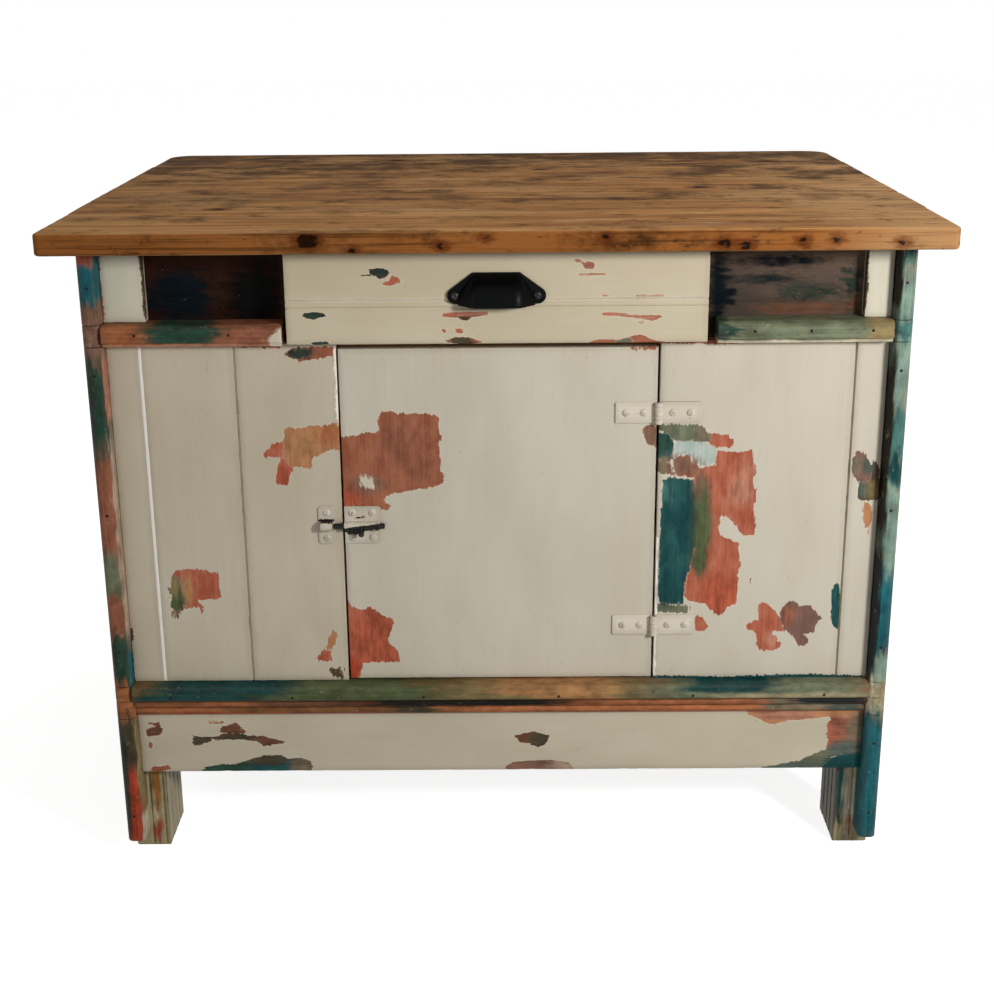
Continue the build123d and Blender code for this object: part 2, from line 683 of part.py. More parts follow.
def strap_section(start, radius):
    """Draw a strap that arches over the rod's line and stands on the face of its plate."""
    with BuildSketch(Plane.YZ.offset(start)) as section:
        with Locations((bolt_y, bolt_z)):
            Circle(radius)
        with Locations((plate_face, bolt_z)):
            Rectangle(plate_face - bolt_y, 2 * radius, align=(Align.MAX, Align.CENTER))
            Rectangle(radius, 2 * radius, align=(Align.MIN, Align.CENTER), mode=Mode.SUBTRACT)
    return section.sketch


with BuildPart() as bolt_plate:
    slab(
        (plate_left, plate_right),
        (plate_face, board_face),
        (bolt_z - BOLT_PLATE_HEIGHT / 2, bolt_z + BOLT_PLATE_HEIGHT / 2),
    )
    fillet(bolt_plate.edges().filter_by(Axis.Y).group_by(Axis.X)[-1], BOLT_PLATE_CORNER)
    extrude(strap_section(plate_left, strap_radius), amount=BOLT_PLATE_WIDTH)
    slab(
        (plate_left + BOLT_STRAP_WIDTH, plate_right - BOLT_STRAP_WIDTH),
        (bolt_y - strap_radius, plate_face),
        (bolt_z - strap_radius, bolt_z),
        mode=Mode.SUBTRACT,
    )
    with Locations((plate_middle, bolt_y, bolt_z)):
        Cylinder(ROD_RADIUS + ROD_FIT, 2 * BOLT_PLATE_WIDTH, rotation=(0, 90, 0), mode=Mode.SUBTRACT)
save(bolt_plate, "bolt_plate")

keeper_right = opening_left - KEEPER_GAP
keeper_left = keeper_right - KEEPER_WIDTH
loop_right = keeper_right - KEEPER_LOOP_INSET
loop_left = loop_right - KEEPER_LOOP_LENGTH
loop_bore = ROD_RADIUS + KEEPER_CLEARANCE
with BuildPart() as bolt_keeper:
    slab(
        (keeper_left, keeper_right),
        (plate_face, board_face),
        (bolt_z - KEEPER_HEIGHT / 2, bolt_z + KEEPER_HEIGHT / 2),
    )
    fillet(bolt_keeper.edges().filter_by(Axis.Y), KEEPER_CORNER)
    extrude(strap_section(loop_left, loop_bore + KEEPER_LOOP_WALL), amount=KEEPER_LOOP_LENGTH)
    extrude(strap_section(loop_left, loop_bore), amount=KEEPER_LOOP_LENGTH, mode=Mode.SUBTRACT)
save(bolt_keeper, "bolt_keeper")

rod_tip = loop_right + KEEPER_TIP_GAP
knob_x = rod_tip + ROD_LENGTH - KNOB_FROM_ROD_END
knob_angle = math.radians(KNOB_SLOPE)
knob_direction = Vector(0, -math.cos(knob_angle), -math.sin(knob_angle))
knob_axis = Axis((knob_x, bolt_y, bolt_z), knob_direction)
knob_plane = Plane(origin=knob_axis.position, x_dir=(1, 0, 0), z_dir=knob_direction)
with BuildPart() as bolt_rod:
    with Locations((rod_tip + ROD_LENGTH / 2, bolt_y, bolt_z)):
        Cylinder(ROD_RADIUS, ROD_LENGTH, rotation=(0, 90, 0))
    chamfer(bolt_rod.edges().filter_by(GeomType.CIRCLE), ROD_TIP_CHAMFER)
    with BuildSketch(knob_plane):
        Circle(KNOB_STEM_RADIUS)
    extrude(amount=KNOB_REACH)
    with BuildSketch(knob_plane.offset(KNOB_REACH)):
        Circle(KNOB_RADIUS)
    extrude(amount=KNOB_LENGTH)
    chamfer(bolt_rod.faces().sort_by(knob_axis)[-1].edges(), KNOB_CHAMFER)
save(bolt_rod, "bolt_rod")
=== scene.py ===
"""Low island unit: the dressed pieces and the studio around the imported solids."""

import json
import logging
import math
from collections.abc import Iterable, Mapping, Sequence
from dataclasses import dataclass
from enum import Enum
from itertools import product

import bmesh
import bpy
import numpy as np
from mathutils import Matrix, Vector, noise

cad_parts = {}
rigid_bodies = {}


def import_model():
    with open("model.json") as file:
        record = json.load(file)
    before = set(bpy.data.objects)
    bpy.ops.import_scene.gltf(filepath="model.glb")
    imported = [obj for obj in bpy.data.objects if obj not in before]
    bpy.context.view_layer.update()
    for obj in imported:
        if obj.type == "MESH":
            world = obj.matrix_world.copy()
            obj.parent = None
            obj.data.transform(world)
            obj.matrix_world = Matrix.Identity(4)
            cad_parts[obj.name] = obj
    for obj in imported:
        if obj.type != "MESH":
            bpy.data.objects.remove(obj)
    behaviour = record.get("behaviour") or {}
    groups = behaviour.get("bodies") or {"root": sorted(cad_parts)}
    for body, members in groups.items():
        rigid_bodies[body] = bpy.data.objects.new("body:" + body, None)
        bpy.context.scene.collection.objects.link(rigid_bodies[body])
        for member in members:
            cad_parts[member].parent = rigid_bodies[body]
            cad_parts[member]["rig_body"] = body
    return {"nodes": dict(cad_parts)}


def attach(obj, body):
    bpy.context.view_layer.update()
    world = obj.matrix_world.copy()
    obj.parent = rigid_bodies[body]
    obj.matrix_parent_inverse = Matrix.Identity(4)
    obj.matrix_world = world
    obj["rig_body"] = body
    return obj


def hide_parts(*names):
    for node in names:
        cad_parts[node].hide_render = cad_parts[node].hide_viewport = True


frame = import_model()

LOG = logging.getLogger("low_island_unit")
MM = 0.001
WELD_M = 1e-6  # corners of a CAD mesh nearer than this are one
SAME_M = 1e-7  # points of a grid or a cut nearer than this are one
TINY = 1e-9  # keeps a division from zero
NO_PATCH_MM = -50.0  # the depth where no patch or knot reaches
PATCH_REACH_MM = 12.0  # how far behind a board's front its patches reach
SQUARE_SHARE = 0.995  # a solid that fills more of its box than this is a square board
ARRIS = 0.4  # the widest worn edge as a share of a board, and a grid line's place on that edge
KNOT_STRETCH = (1.5, 1.0, 1.0)  # knots are longer along the boards
STREAK_MM = (30.0, 4.0)  # the size of a smudge's streaks along and across its piece
STREAK_DRIFT_MM = 2.5  # how far they wander across it
STREAK_SEED = 7  # without it the streaks would differ from run to run
FLAT_ANGLE = math.radians(1)  # faces that meet flatter than this are one
SHARP_ANGLE = math.radians(38)  # edges sharper than this are worn round
SMOOTH_ANGLE = math.radians(50)  # edges sharper than this are shaded as edges
GRAIN_SHIFT_MM = 4000.0  # how far the grain of one length may lie from that of another
COLOUR_MIX = {"out": 2, "data_type": "RGBA"}  # what a mix of two colours is set to

Pair = tuple[float, float]
Place = tuple[float, float, float]
Knot = tuple[float, float, float, float]
Socket = bpy.types.NodeSocket


class Layer(Enum):
    """Coats of old paint, the timber under them and a painted highlight, in the order in which they show
    through.
    """

    RUST = "rust"
    CORAL = "coral"
    TAN = "tan"
    TIMBER = "timber"
    PLUM = "plum"
    TEAL = "teal"
    OLIVE = "olive"
    SKY = "sky"
    CREAM = "cream"
    # Not a coat: a near-white painted highlight along lit board edges.
    WHITE = "white"
    IRON = "iron"


class Board(Enum):
    """Groups of boards that share a set of worn patches."""

    DOOR = "door"
    PLANKS_LEFT = "planks_left"
    PLANKS_RIGHT = "planks_right"
    DRAWER = "drawer"
    APRON = "apron"
    RAIL_UPPER = "rail_upper"
    RAIL_LOWER = "rail_lower"
    MOULDING = "moulding"
    STILE_SHORT = "stile_short"
    PANELS = "panels"
    BEAD_LEFT = "bead_left"
    BEAD_RIGHT = "bead_right"
    LEG_FRONT = "leg_front"
    BOLT = "bolt"


class HeadKind(Enum):
    """Heads of the fasteners."""

    SLOTTED = "slotted"
    PLAIN = "plain"


@dataclass(frozen=True)
class Tone:
    """A finish's lighter and darker colour as sRGB hex values, and its roughness."""

    light: str
    dark: str
    rough: float

    def draw(self, sheet: "Sheet", figure: Socket, span: Pair) -> Socket:
        """Colour a sheet from light to dark as a figure rises.

        Args:
            sheet: The finish's sheet.
            figure: The figure.
            span: The figure's values at the lightest and at the darkest.

        Returns:
            The colour.
        """
        shade = sheet.add("ShaderNodeMapRange", {0: figure, 1: span[0], 2: span[1]})
        hues = {6: linear(self.light), 7: linear(self.dark)}
        return sheet.add("ShaderNodeMix", {0: shade, **hues}, **COLOUR_MIX)


@dataclass(frozen=True)
class Patch:
    """A place where a coat shows through, or a painted highlight, outlined by x and z in turn, in millimetres
    on the front.

    A softness over 1 blurs the outline by that many times its usual width.
    """

    layer: Layer
    outline: tuple[float, ...]
    soft: float = 1.0

    def depth_inside(self, points: np.ndarray) -> np.ndarray:
        """Measure how far points lie inside the outline.

        Args:
            points: Rows of x and z in millimetres.

        Returns:
            One signed distance for each point, positive inside and divided by the softness.
        """
        corners = np.array(self.outline, float).reshape(-1, 2)
        nearest = np.full(len(points), np.inf)
        inside = np.zeros(len(points), bool)
        for start, end in zip(corners, np.roll(corners, -1, axis=0)):
            side = end - start
            along = np.clip((points - start) @ side / max(side @ side, TINY), 0, 1)
            nearest = np.minimum(nearest, np.linalg.norm(points - start - along[:, None] * side, axis=1))
            crosses = (start[1] > points[:, 1]) != (end[1] > points[:, 1])
            rise = side[1] if side[1] else TINY
            inside ^= crosses & (points[:, 0] < start[0] + (points[:, 1] - start[1]) / rise * side[0])
        return np.where(inside, nearest, -nearest) / self.soft


class Paint(Enum):
    """The paints and stains that have been over the unit, as sRGB values; the black also serves as painted
    shade.
    """

    # Black paint, also laid as painted shade on the right bead's inner side.
    BLACK_AND_SHADE = "#080908"
    NIGHT_BLUE = "#101D20"
    INK = "#0A1318"
    DARK_OAK = "#311E14"
    DEEP_TEAL = "#0F3F3E"
    DARK_GREEN = "#29342C"
    UMBER = "#473F2E"
    BOTTLE_GREEN = "#2B4639"
    PEACOCK = "#1F5D64"
    MOSS = "#515A3B"
    SLATE = "#525950"
    CHESTNUT = "#684431"
    WALNUT = "#7D5433"
    SEA_GREEN = "#467069"
    SAGE = "#6F755C"
    STRAW = "#907F57"
    OCHRE = "#7C6C48"
    DUST = "#7B6C56"
    CLAY = "#84614F"
    AMBER = "#9C662F"
    BRICK = "#925B45"
    COPPER = "#A76742"
    TERRACOTTA = "#AD563C"
    RED = "#B1472E"
    PALE_GREEN = "#7B9282"
    SAND = "#A59A77"
    PUTTY = "#B19983"
    HONEY = "#A97B50"
    ROSE = "#B47C64"
    CREAM = "#D4C8AD"


@dataclass(frozen=True)
class Smudge:
    """A soft stain of colour, given by its middle and its reach across and up in millimetres.

    A share under 1 leaves the stain in flecks. The power squares the outline off, from 2 for an oval.
    """

    x: float
    z: float
    wide: float
    tall: float
    paint: Paint
    share: float = 1.0
    power: int = 2

    def away(self, points: np.ndarray) -> np.ndarray:
        """Measure how far points lie from the middle.

        Args:
            points: Rows of x and z in millimetres.

        Returns:
            One distance for each point, 1 at the smudge's edge.
        """
        offset = np.abs(points - (self.x, self.z)) / (self.wide, self.tall)
        return (offset**self.power).sum(axis=1) ** (1 / self.power)


def strip(left: float, right: float, low: float, high: float, paint: Paint) -> Smudge:
    """Set a squared-off smudge between two ends and two levels.

    Args:
        left: Its left end in millimetres.
        right: Its right end.
        low: Its lower level.
        high: Its upper level.
        paint: Its paint.

    Returns:
        The smudge.
    """
    return Smudge((left + right) / 2, (low + high) / 2, (right - left) / 2, (high - low) / 2, paint, power=4)


TONES: dict[Layer, Tone] = {
    Layer.RUST: Tone("#A86A4E", "#8E5139", 0.55),
    Layer.CORAL: Tone("#BC7056", "#A05038", 0.5),
    Layer.TAN: Tone("#C28A60", "#A8744E", 0.55),
    Layer.TIMBER: Tone("#5F4C36", "#3A2E22", 0.7),
    Layer.PLUM: Tone("#8A6054", "#6A544A", 0.55),
    Layer.TEAL: Tone("#265854", "#0F393C", 0.42),
    Layer.OLIVE: Tone("#7B7A64", "#565D47", 0.55),
    Layer.SKY: Tone("#C2C8C0", "#9AB0A4", 0.5),
    Layer.CREAM: Tone("#D6CCB8", "#C4BAA3", 0.45),
    # Painted highlight colour, brighter than any paint on the boards.
    Layer.WHITE: Tone("#FBF6E9", "#EFE8D6", 0.35),
    Layer.IRON: Tone("#1E1813", "#0C0907", 0.5),
}

PATCHES: dict[Board, tuple[Patch, ...]] = {
    Board.DOOR: (
        Patch(Layer.RUST, (
            -184, 544, -163, 546, -137, 551, -137, 569, -131, 574, -122, 575, -116, 571, -81, 571, -68, 567,
            -68, 552, -66, 541, -69, 535, -66, 526, -67, 502, -62, 498, -64, 486, -72, 483, -105, 478,
            -130, 474, -134, 466, -126, 457, -133, 454, -143, 459, -183, 459, -187, 490,
        )),
        Patch(Layer.CREAM, (-162, 495, -146, 496, -145, 480, -159, 483), 1.6),
        Patch(Layer.CORAL, (
            -183, 343, -177, 332, -163, 328, -154, 333, -143, 322, -127, 315, -131, 298, -136, 289,
            -122, 274, -121, 260, -151, 260, -167, 257, -169, 243, -174, 235, -185, 237,
        )),
        Patch(Layer.TAN, (167, 552, 175, 556, 187, 555, 188, 530, 174, 532, 168, 542)),
        Patch(Layer.RUST, (151, 647, 182, 649, 182, 645, 159, 643)),
    ),
    Board.PLANKS_LEFT: (
        Patch(Layer.TAN, (
            -246, 555, -228, 555, -198, 559, -182, 562, -183, 529, -197, 528, -208, 522, -219, 516,
            -214, 506, -239, 508, -244, 513, -249, 519, -248, 540,
        )),
        Patch(Layer.CORAL, (
            -271, 526, -262, 536, -247, 540, -244, 528, -239, 508, -245, 487, -260, 487, -256, 508,
            -252, 520, -272, 520,
        )),
        Patch(Layer.CORAL, (
            -389, 378, -374, 382, -355, 381, -334, 376, -333, 343, -349, 343, -363, 341, -354, 334,
            -357, 322, -361, 333, -367, 333, -378, 331, -383, 325, -390, 317, -393, 334, -392, 361,
        )),
        Patch(Layer.OLIVE, (-392, 363, -382, 366, -374, 349, -379, 332, -390, 319, -394, 337), 3),
        Patch(Layer.TAN, (-201, 303, -195, 296, -198, 283, -204, 277, -211, 276, -207, 290)),
        Patch(Layer.CORAL, (-213, 276, -204, 277, -203, 261, -224, 262)),
        Patch(Layer.RUST, (
            -243, 642, -232, 650, -186, 651, -172, 651, -181, 641, -190, 639, -208, 636, -225, 633,
            -233, 638,
        )),
        Patch(Layer.TEAL, (-236, 646, -215, 648, -213, 640, -230, 637)),
        # Painted highlight along the lit right edge of the inner left plank, beside the door.
        Patch(Layer.WHITE, (-185.4, 556, -180, 556, -180, 655, -185.4, 655)),
        Patch(Layer.RUST, (-302, 658, -246, 658, -246, 649, -301, 651)),
        Patch(Layer.TIMBER, (-206, 251, -190, 252, -192, 240, -204, 241), 2.5),
        Patch(Layer.TIMBER, (-450, 311, -441, 304, -441, 291, -452, 287)),
        Patch(Layer.TEAL, (-456, 273, -446, 266, -444, 245, -443, 219, -461, 219), 1.5),
        Patch(Layer.CORAL, (-449, 645, -445, 646, -445, 625, -449, 625), 1.2),
    ),
    Board.PLANKS_RIGHT: (
        Patch(Layer.OLIVE, (
            181, 556, 232, 556, 242, 548, 246, 536, 224, 533, 204, 536, 198, 547, 182, 548,
        ), 1.2),
        Patch(Layer.CORAL, (245, 544, 265, 544, 273, 536, 270, 528, 246, 529, 243, 539)),
        Patch(Layer.TEAL, (183, 547, 202, 549, 204, 536, 203, 514, 196, 510, 182, 517), 1.5),
        Patch(Layer.RUST, (182, 518, 198, 511, 204, 496, 188, 497, 183, 503), 1.5),
        Patch(Layer.SKY, (
            206, 535, 224, 536, 246, 532, 252, 528, 251, 508, 236, 506, 225, 511, 223, 522, 206, 518,
            204, 509, 203, 520,
        )),
        Patch(Layer.RUST, (
            204, 514, 210, 518, 223, 521, 225, 511, 234, 506, 234, 492, 204, 494, 204, 506,
        ), 1.3),
        Patch(Layer.TEAL, (
            192, 490, 207, 492, 228, 489, 235, 463, 236, 421, 229, 389, 222, 363, 220, 332, 191, 332,
            188, 363, 190, 421,
        )),
        Patch(Layer.CORAL, (
            234, 503, 253, 507, 254, 525, 278, 522, 294, 525, 297, 513, 301, 499, 296, 488, 302, 474,
            302, 463, 299, 452, 302, 434, 300, 419, 287, 420, 277, 435, 266, 446, 261, 443, 259, 426,
            266, 417, 284, 410, 285, 388, 288, 380, 284, 377, 284, 359, 283, 333, 272, 328, 265, 317,
            256, 323, 247, 333, 230, 336, 216, 345, 216, 480, 232, 494,
        )),
        Patch(Layer.OLIVE, (185, 335, 203, 333, 231, 330, 225, 322, 187, 323), 1.5),
        Patch(Layer.CORAL, (234, 318, 242, 317, 251, 306, 248, 298, 235, 299)),
        Patch(Layer.CORAL, (
            310, 334, 318, 334, 327, 327, 333, 319, 341, 309, 342, 297, 327, 297, 340, 280, 335, 273,
            316, 271, 310, 279, 310, 295, 298, 300, 297, 307, 310, 313,
        )),
        Patch(Layer.PLUM, (
            338, 326, 348, 337, 355, 335, 360, 329, 371, 332, 379, 323, 387, 313, 380, 307, 379, 296,
            367, 293, 374, 284, 365, 277, 357, 282, 350, 295, 341, 300, 337, 315,
        )),
        Patch(Layer.TEAL, (397, 350, 403, 361, 407, 353, 408, 332, 408, 296, 399, 305, 397, 323)),
        Patch(Layer.PLUM, (411, 513, 417, 524, 427, 518, 435, 501, 433, 489, 427, 483, 418, 487, 412, 493)),
        Patch(Layer.TIMBER, (421, 487, 429, 492, 437, 514, 443, 503, 447, 464, 428, 461, 420, 464)),
        Patch(Layer.TAN, (428, 462, 435, 458, 439, 445, 435, 421, 427, 442)),
        Patch(Layer.RUST, (183, 658, 288, 658, 400, 658, 400, 654, 286, 652, 258, 650, 187, 652)),
        Patch(Layer.CORAL, (299, 366, 303, 364, 302, 354, 300, 356)),
        Patch(Layer.TEAL, (177, 240, 278, 238, 372, 241, 442, 238, 443, 226, 178, 226)),
        # Painted highlight along the right plank's left edge, beside the door.
        Patch(Layer.WHITE, (184, 240, 188.6, 240, 188.6, 420, 184, 420)),
    ),
    Board.DRAWER: (
        Patch(Layer.TIMBER, (
            -141, 742, -131, 743.5, -120, 741.5, -118, 737, -125, 732, -131.5, 731.4, -134, 735,
            -149, 734.5, -151, 736.4, -140, 737,
        )),
        Patch(Layer.CORAL, (
            -127, 727, -118.5, 729.6, -116, 735, -107.6, 732.2, -107, 729, -102, 727.5, -110.4, 726.3,
            -116.4, 723.7, -125.5, 724.1,
        )),
        Patch(Layer.CORAL, (94.6, 747, 103.3, 749.2, 109, 747, 107.7, 741, 98.5, 740.4)),
        Patch(Layer.CORAL, (85.4, 751, 94, 751.6, 94, 748.3, 86.8, 747.7)),
        Patch(Layer.TAN, (88, 735.6, 121.4, 736, 121, 733.4, 95.4, 732.6)),
        Patch(Layer.TAN, (154.5, 711.4, 186, 711.2, 186, 708.5, 155, 708.7)),
        Patch(Layer.TAN, (116.5, 711.7, 125, 711.6, 125, 709, 117, 709)),
        Patch(Layer.TIMBER, (
            -216, 693.3, -203.4, 694.5, -193, 693, -190, 689.7, -198.7, 688.4, -204, 685.8, -211, 687.2,
            -217.4, 690,
        )),
        Patch(Layer.CORAL, (
            -62.7, 691.4, -49, 693.3, -8, 693.7, -10, 690, -26, 687.8, -42.4, 687.3, -59, 688,
        )),
        Patch(Layer.TIMBER, (-43.7, 689.3, -26, 689.2, -32, 684.2, -40, 684.3)),
        Patch(Layer.CORAL, (
            116.7, 692, 135, 691.3, 155, 688.5, 186, 688.2, 181.3, 684.3, 173.4, 682, 164.8, 684.4,
            138.5, 687.3, 118, 688.4,
        )),
        Patch(Layer.CORAL, (156.4, 681, 166, 681, 165, 678.4, 157.7, 678.4)),
        Patch(Layer.CORAL, (-47, 674.3, -37.6, 675, -38, 669.5, -46, 669.5)),
        Patch(Layer.CORAL, (-62.4, 674.4, -56.5, 674.3, -57, 670.3, -61, 670.3)),
        Patch(Layer.CORAL, (
            -67, 662.6, -52.7, 662.5, -46.7, 665.2, -29.5, 664.4, -23, 661.6, -15.7, 659, -26.3, 657,
            -39.6, 656.4, -52, 658.5,
        )),
        Patch(Layer.TIMBER, (-52, 663.5, -31, 664, -28.3, 659.7, -43, 657.4, -51.4, 659.5)),
        Patch(Layer.TIMBER, (-208.3, 660, -189, 661.2, -188, 657.8, -207.7, 657.3)),
        Patch(Layer.RUST, (
            100.6, 656.7, 113, 661.3, 135.6, 660.5, 155.3, 665.7, 162.6, 666.3, 172, 661.5, 182, 658.8,
            197, 656, 185, 653, 109, 653,
        )),
        Patch(Layer.OLIVE, (133, 659, 147, 663, 153, 659, 139, 655.4)),
        # A paler line along the top of the drawer front's bead: painted highlight.
        Patch(Layer.CREAM, (-236, 706, 236, 706, 236, 709, -236, 709)),
    ),
    Board.APRON: (
        Patch(Layer.RUST, (-437, 171, -432, 173, -419, 177, -415, 171, -418, 164, -426, 163, -435, 161)),
        Patch(Layer.RUST, (-434, 180, -418, 181, -417, 178, -431, 177)),
        Patch(Layer.RUST, (-435, 153, -429, 155, -430, 146, -434, 144)),
        Patch(Layer.TIMBER, (
            -380, 163, -373, 160, -352, 161, -342, 165, -321, 166, -309, 162, -293, 161, -278, 157,
            -258, 153, -278, 150, -294, 147, -297, 153, -315, 157, -337, 157, -358, 155, -371, 149,
            -380, 148,
        )),
        Patch(Layer.RUST, (
            -345, 167, -344, 174, -335, 176, -326, 179, -320, 179, -320, 172, -311, 170, -315, 164,
            -327, 165,
        )),
        Patch(Layer.TAN, (-362, 182, -339, 184, -341, 179, -360, 179)),
        Patch(Layer.TEAL, (
            -373, 112, -367, 119, -345, 123, -328, 123, -310, 129, -292, 135, -273, 135, -261, 130,
            -248, 131, -236, 127, -233, 118, -236, 112,
        )),
        Patch(Layer.RUST, (-439, 115, -432, 120, -413, 122, -409, 117, -423, 112)),
        Patch(Layer.TIMBER, (
            16, 159, 22, 161, 39, 165, 54, 162, 62, 159, 57, 150, 49, 144, 39, 146, 36, 150, 26, 150,
        )),
        Patch(Layer.PLUM, (6, 118, 16, 124, 46, 126, 65, 126, 85, 122, 92, 112, 8, 112)),
        Patch(Layer.TAN, (
            297, 191, 323, 194, 374, 194, 445, 194, 445, 182, 404, 184, 375, 180, 352, 178, 336, 173,
            325, 176, 313, 183,
        )),
        Patch(Layer.CORAL, (
            400, 186, 407, 179, 400, 173, 403, 165, 400, 158, 405, 153, 401, 143, 406, 138, 422, 139,
            446, 148, 446, 192,
        )),
        Patch(Layer.OLIVE, (
            310, 111, 339, 117, 371, 124, 390, 134, 406, 141, 422, 143, 446, 153, 446, 139, 410, 128,
            391, 111,
        )),
        Patch(Layer.TEAL, (393, 111, 395, 123, 416, 130, 441, 145, 447, 146, 449, 111)),
    ),
    Board.RAIL_UPPER: (
        Patch(Layer.CREAM, (-257, 664, -248, 672, -239, 678, -238, 653, -252, 654)),
    ),
    Board.BOLT: (
        Patch(Layer.IRON, (
            -183, 435, -166, 438, -152, 439, -137, 441, -137, 434, -149, 430, -158, 428.5, -166, 424.5,
            -176, 424, -180, 428, -183, 429,
        )),
        Patch(Layer.IRON, (-170, 446, -157, 448, -156, 446, -167, 444)),
        Patch(Layer.IRON, (-214, 444.5, -193, 444, -193, 441, -214, 441.5)),
    ),
    Board.STILE_SHORT: (
        Patch(Layer.CORAL, (-446, 766, -443, 766, -444, 720, -443, 682, -446, 682), 1.2),
        Patch(Layer.TIMBER, (-400, 766, -396, 766, -396, 680, -399, 690, -398, 722), 1.2),
        Patch(Layer.TIMBER, (411, 766, 416, 766, 415, 735, 417, 712, 414, 680, 411, 680), 1.2),
        Patch(Layer.CORAL, (411, 712, 415, 710, 416, 690, 411, 686), 1.2),
    ),
}

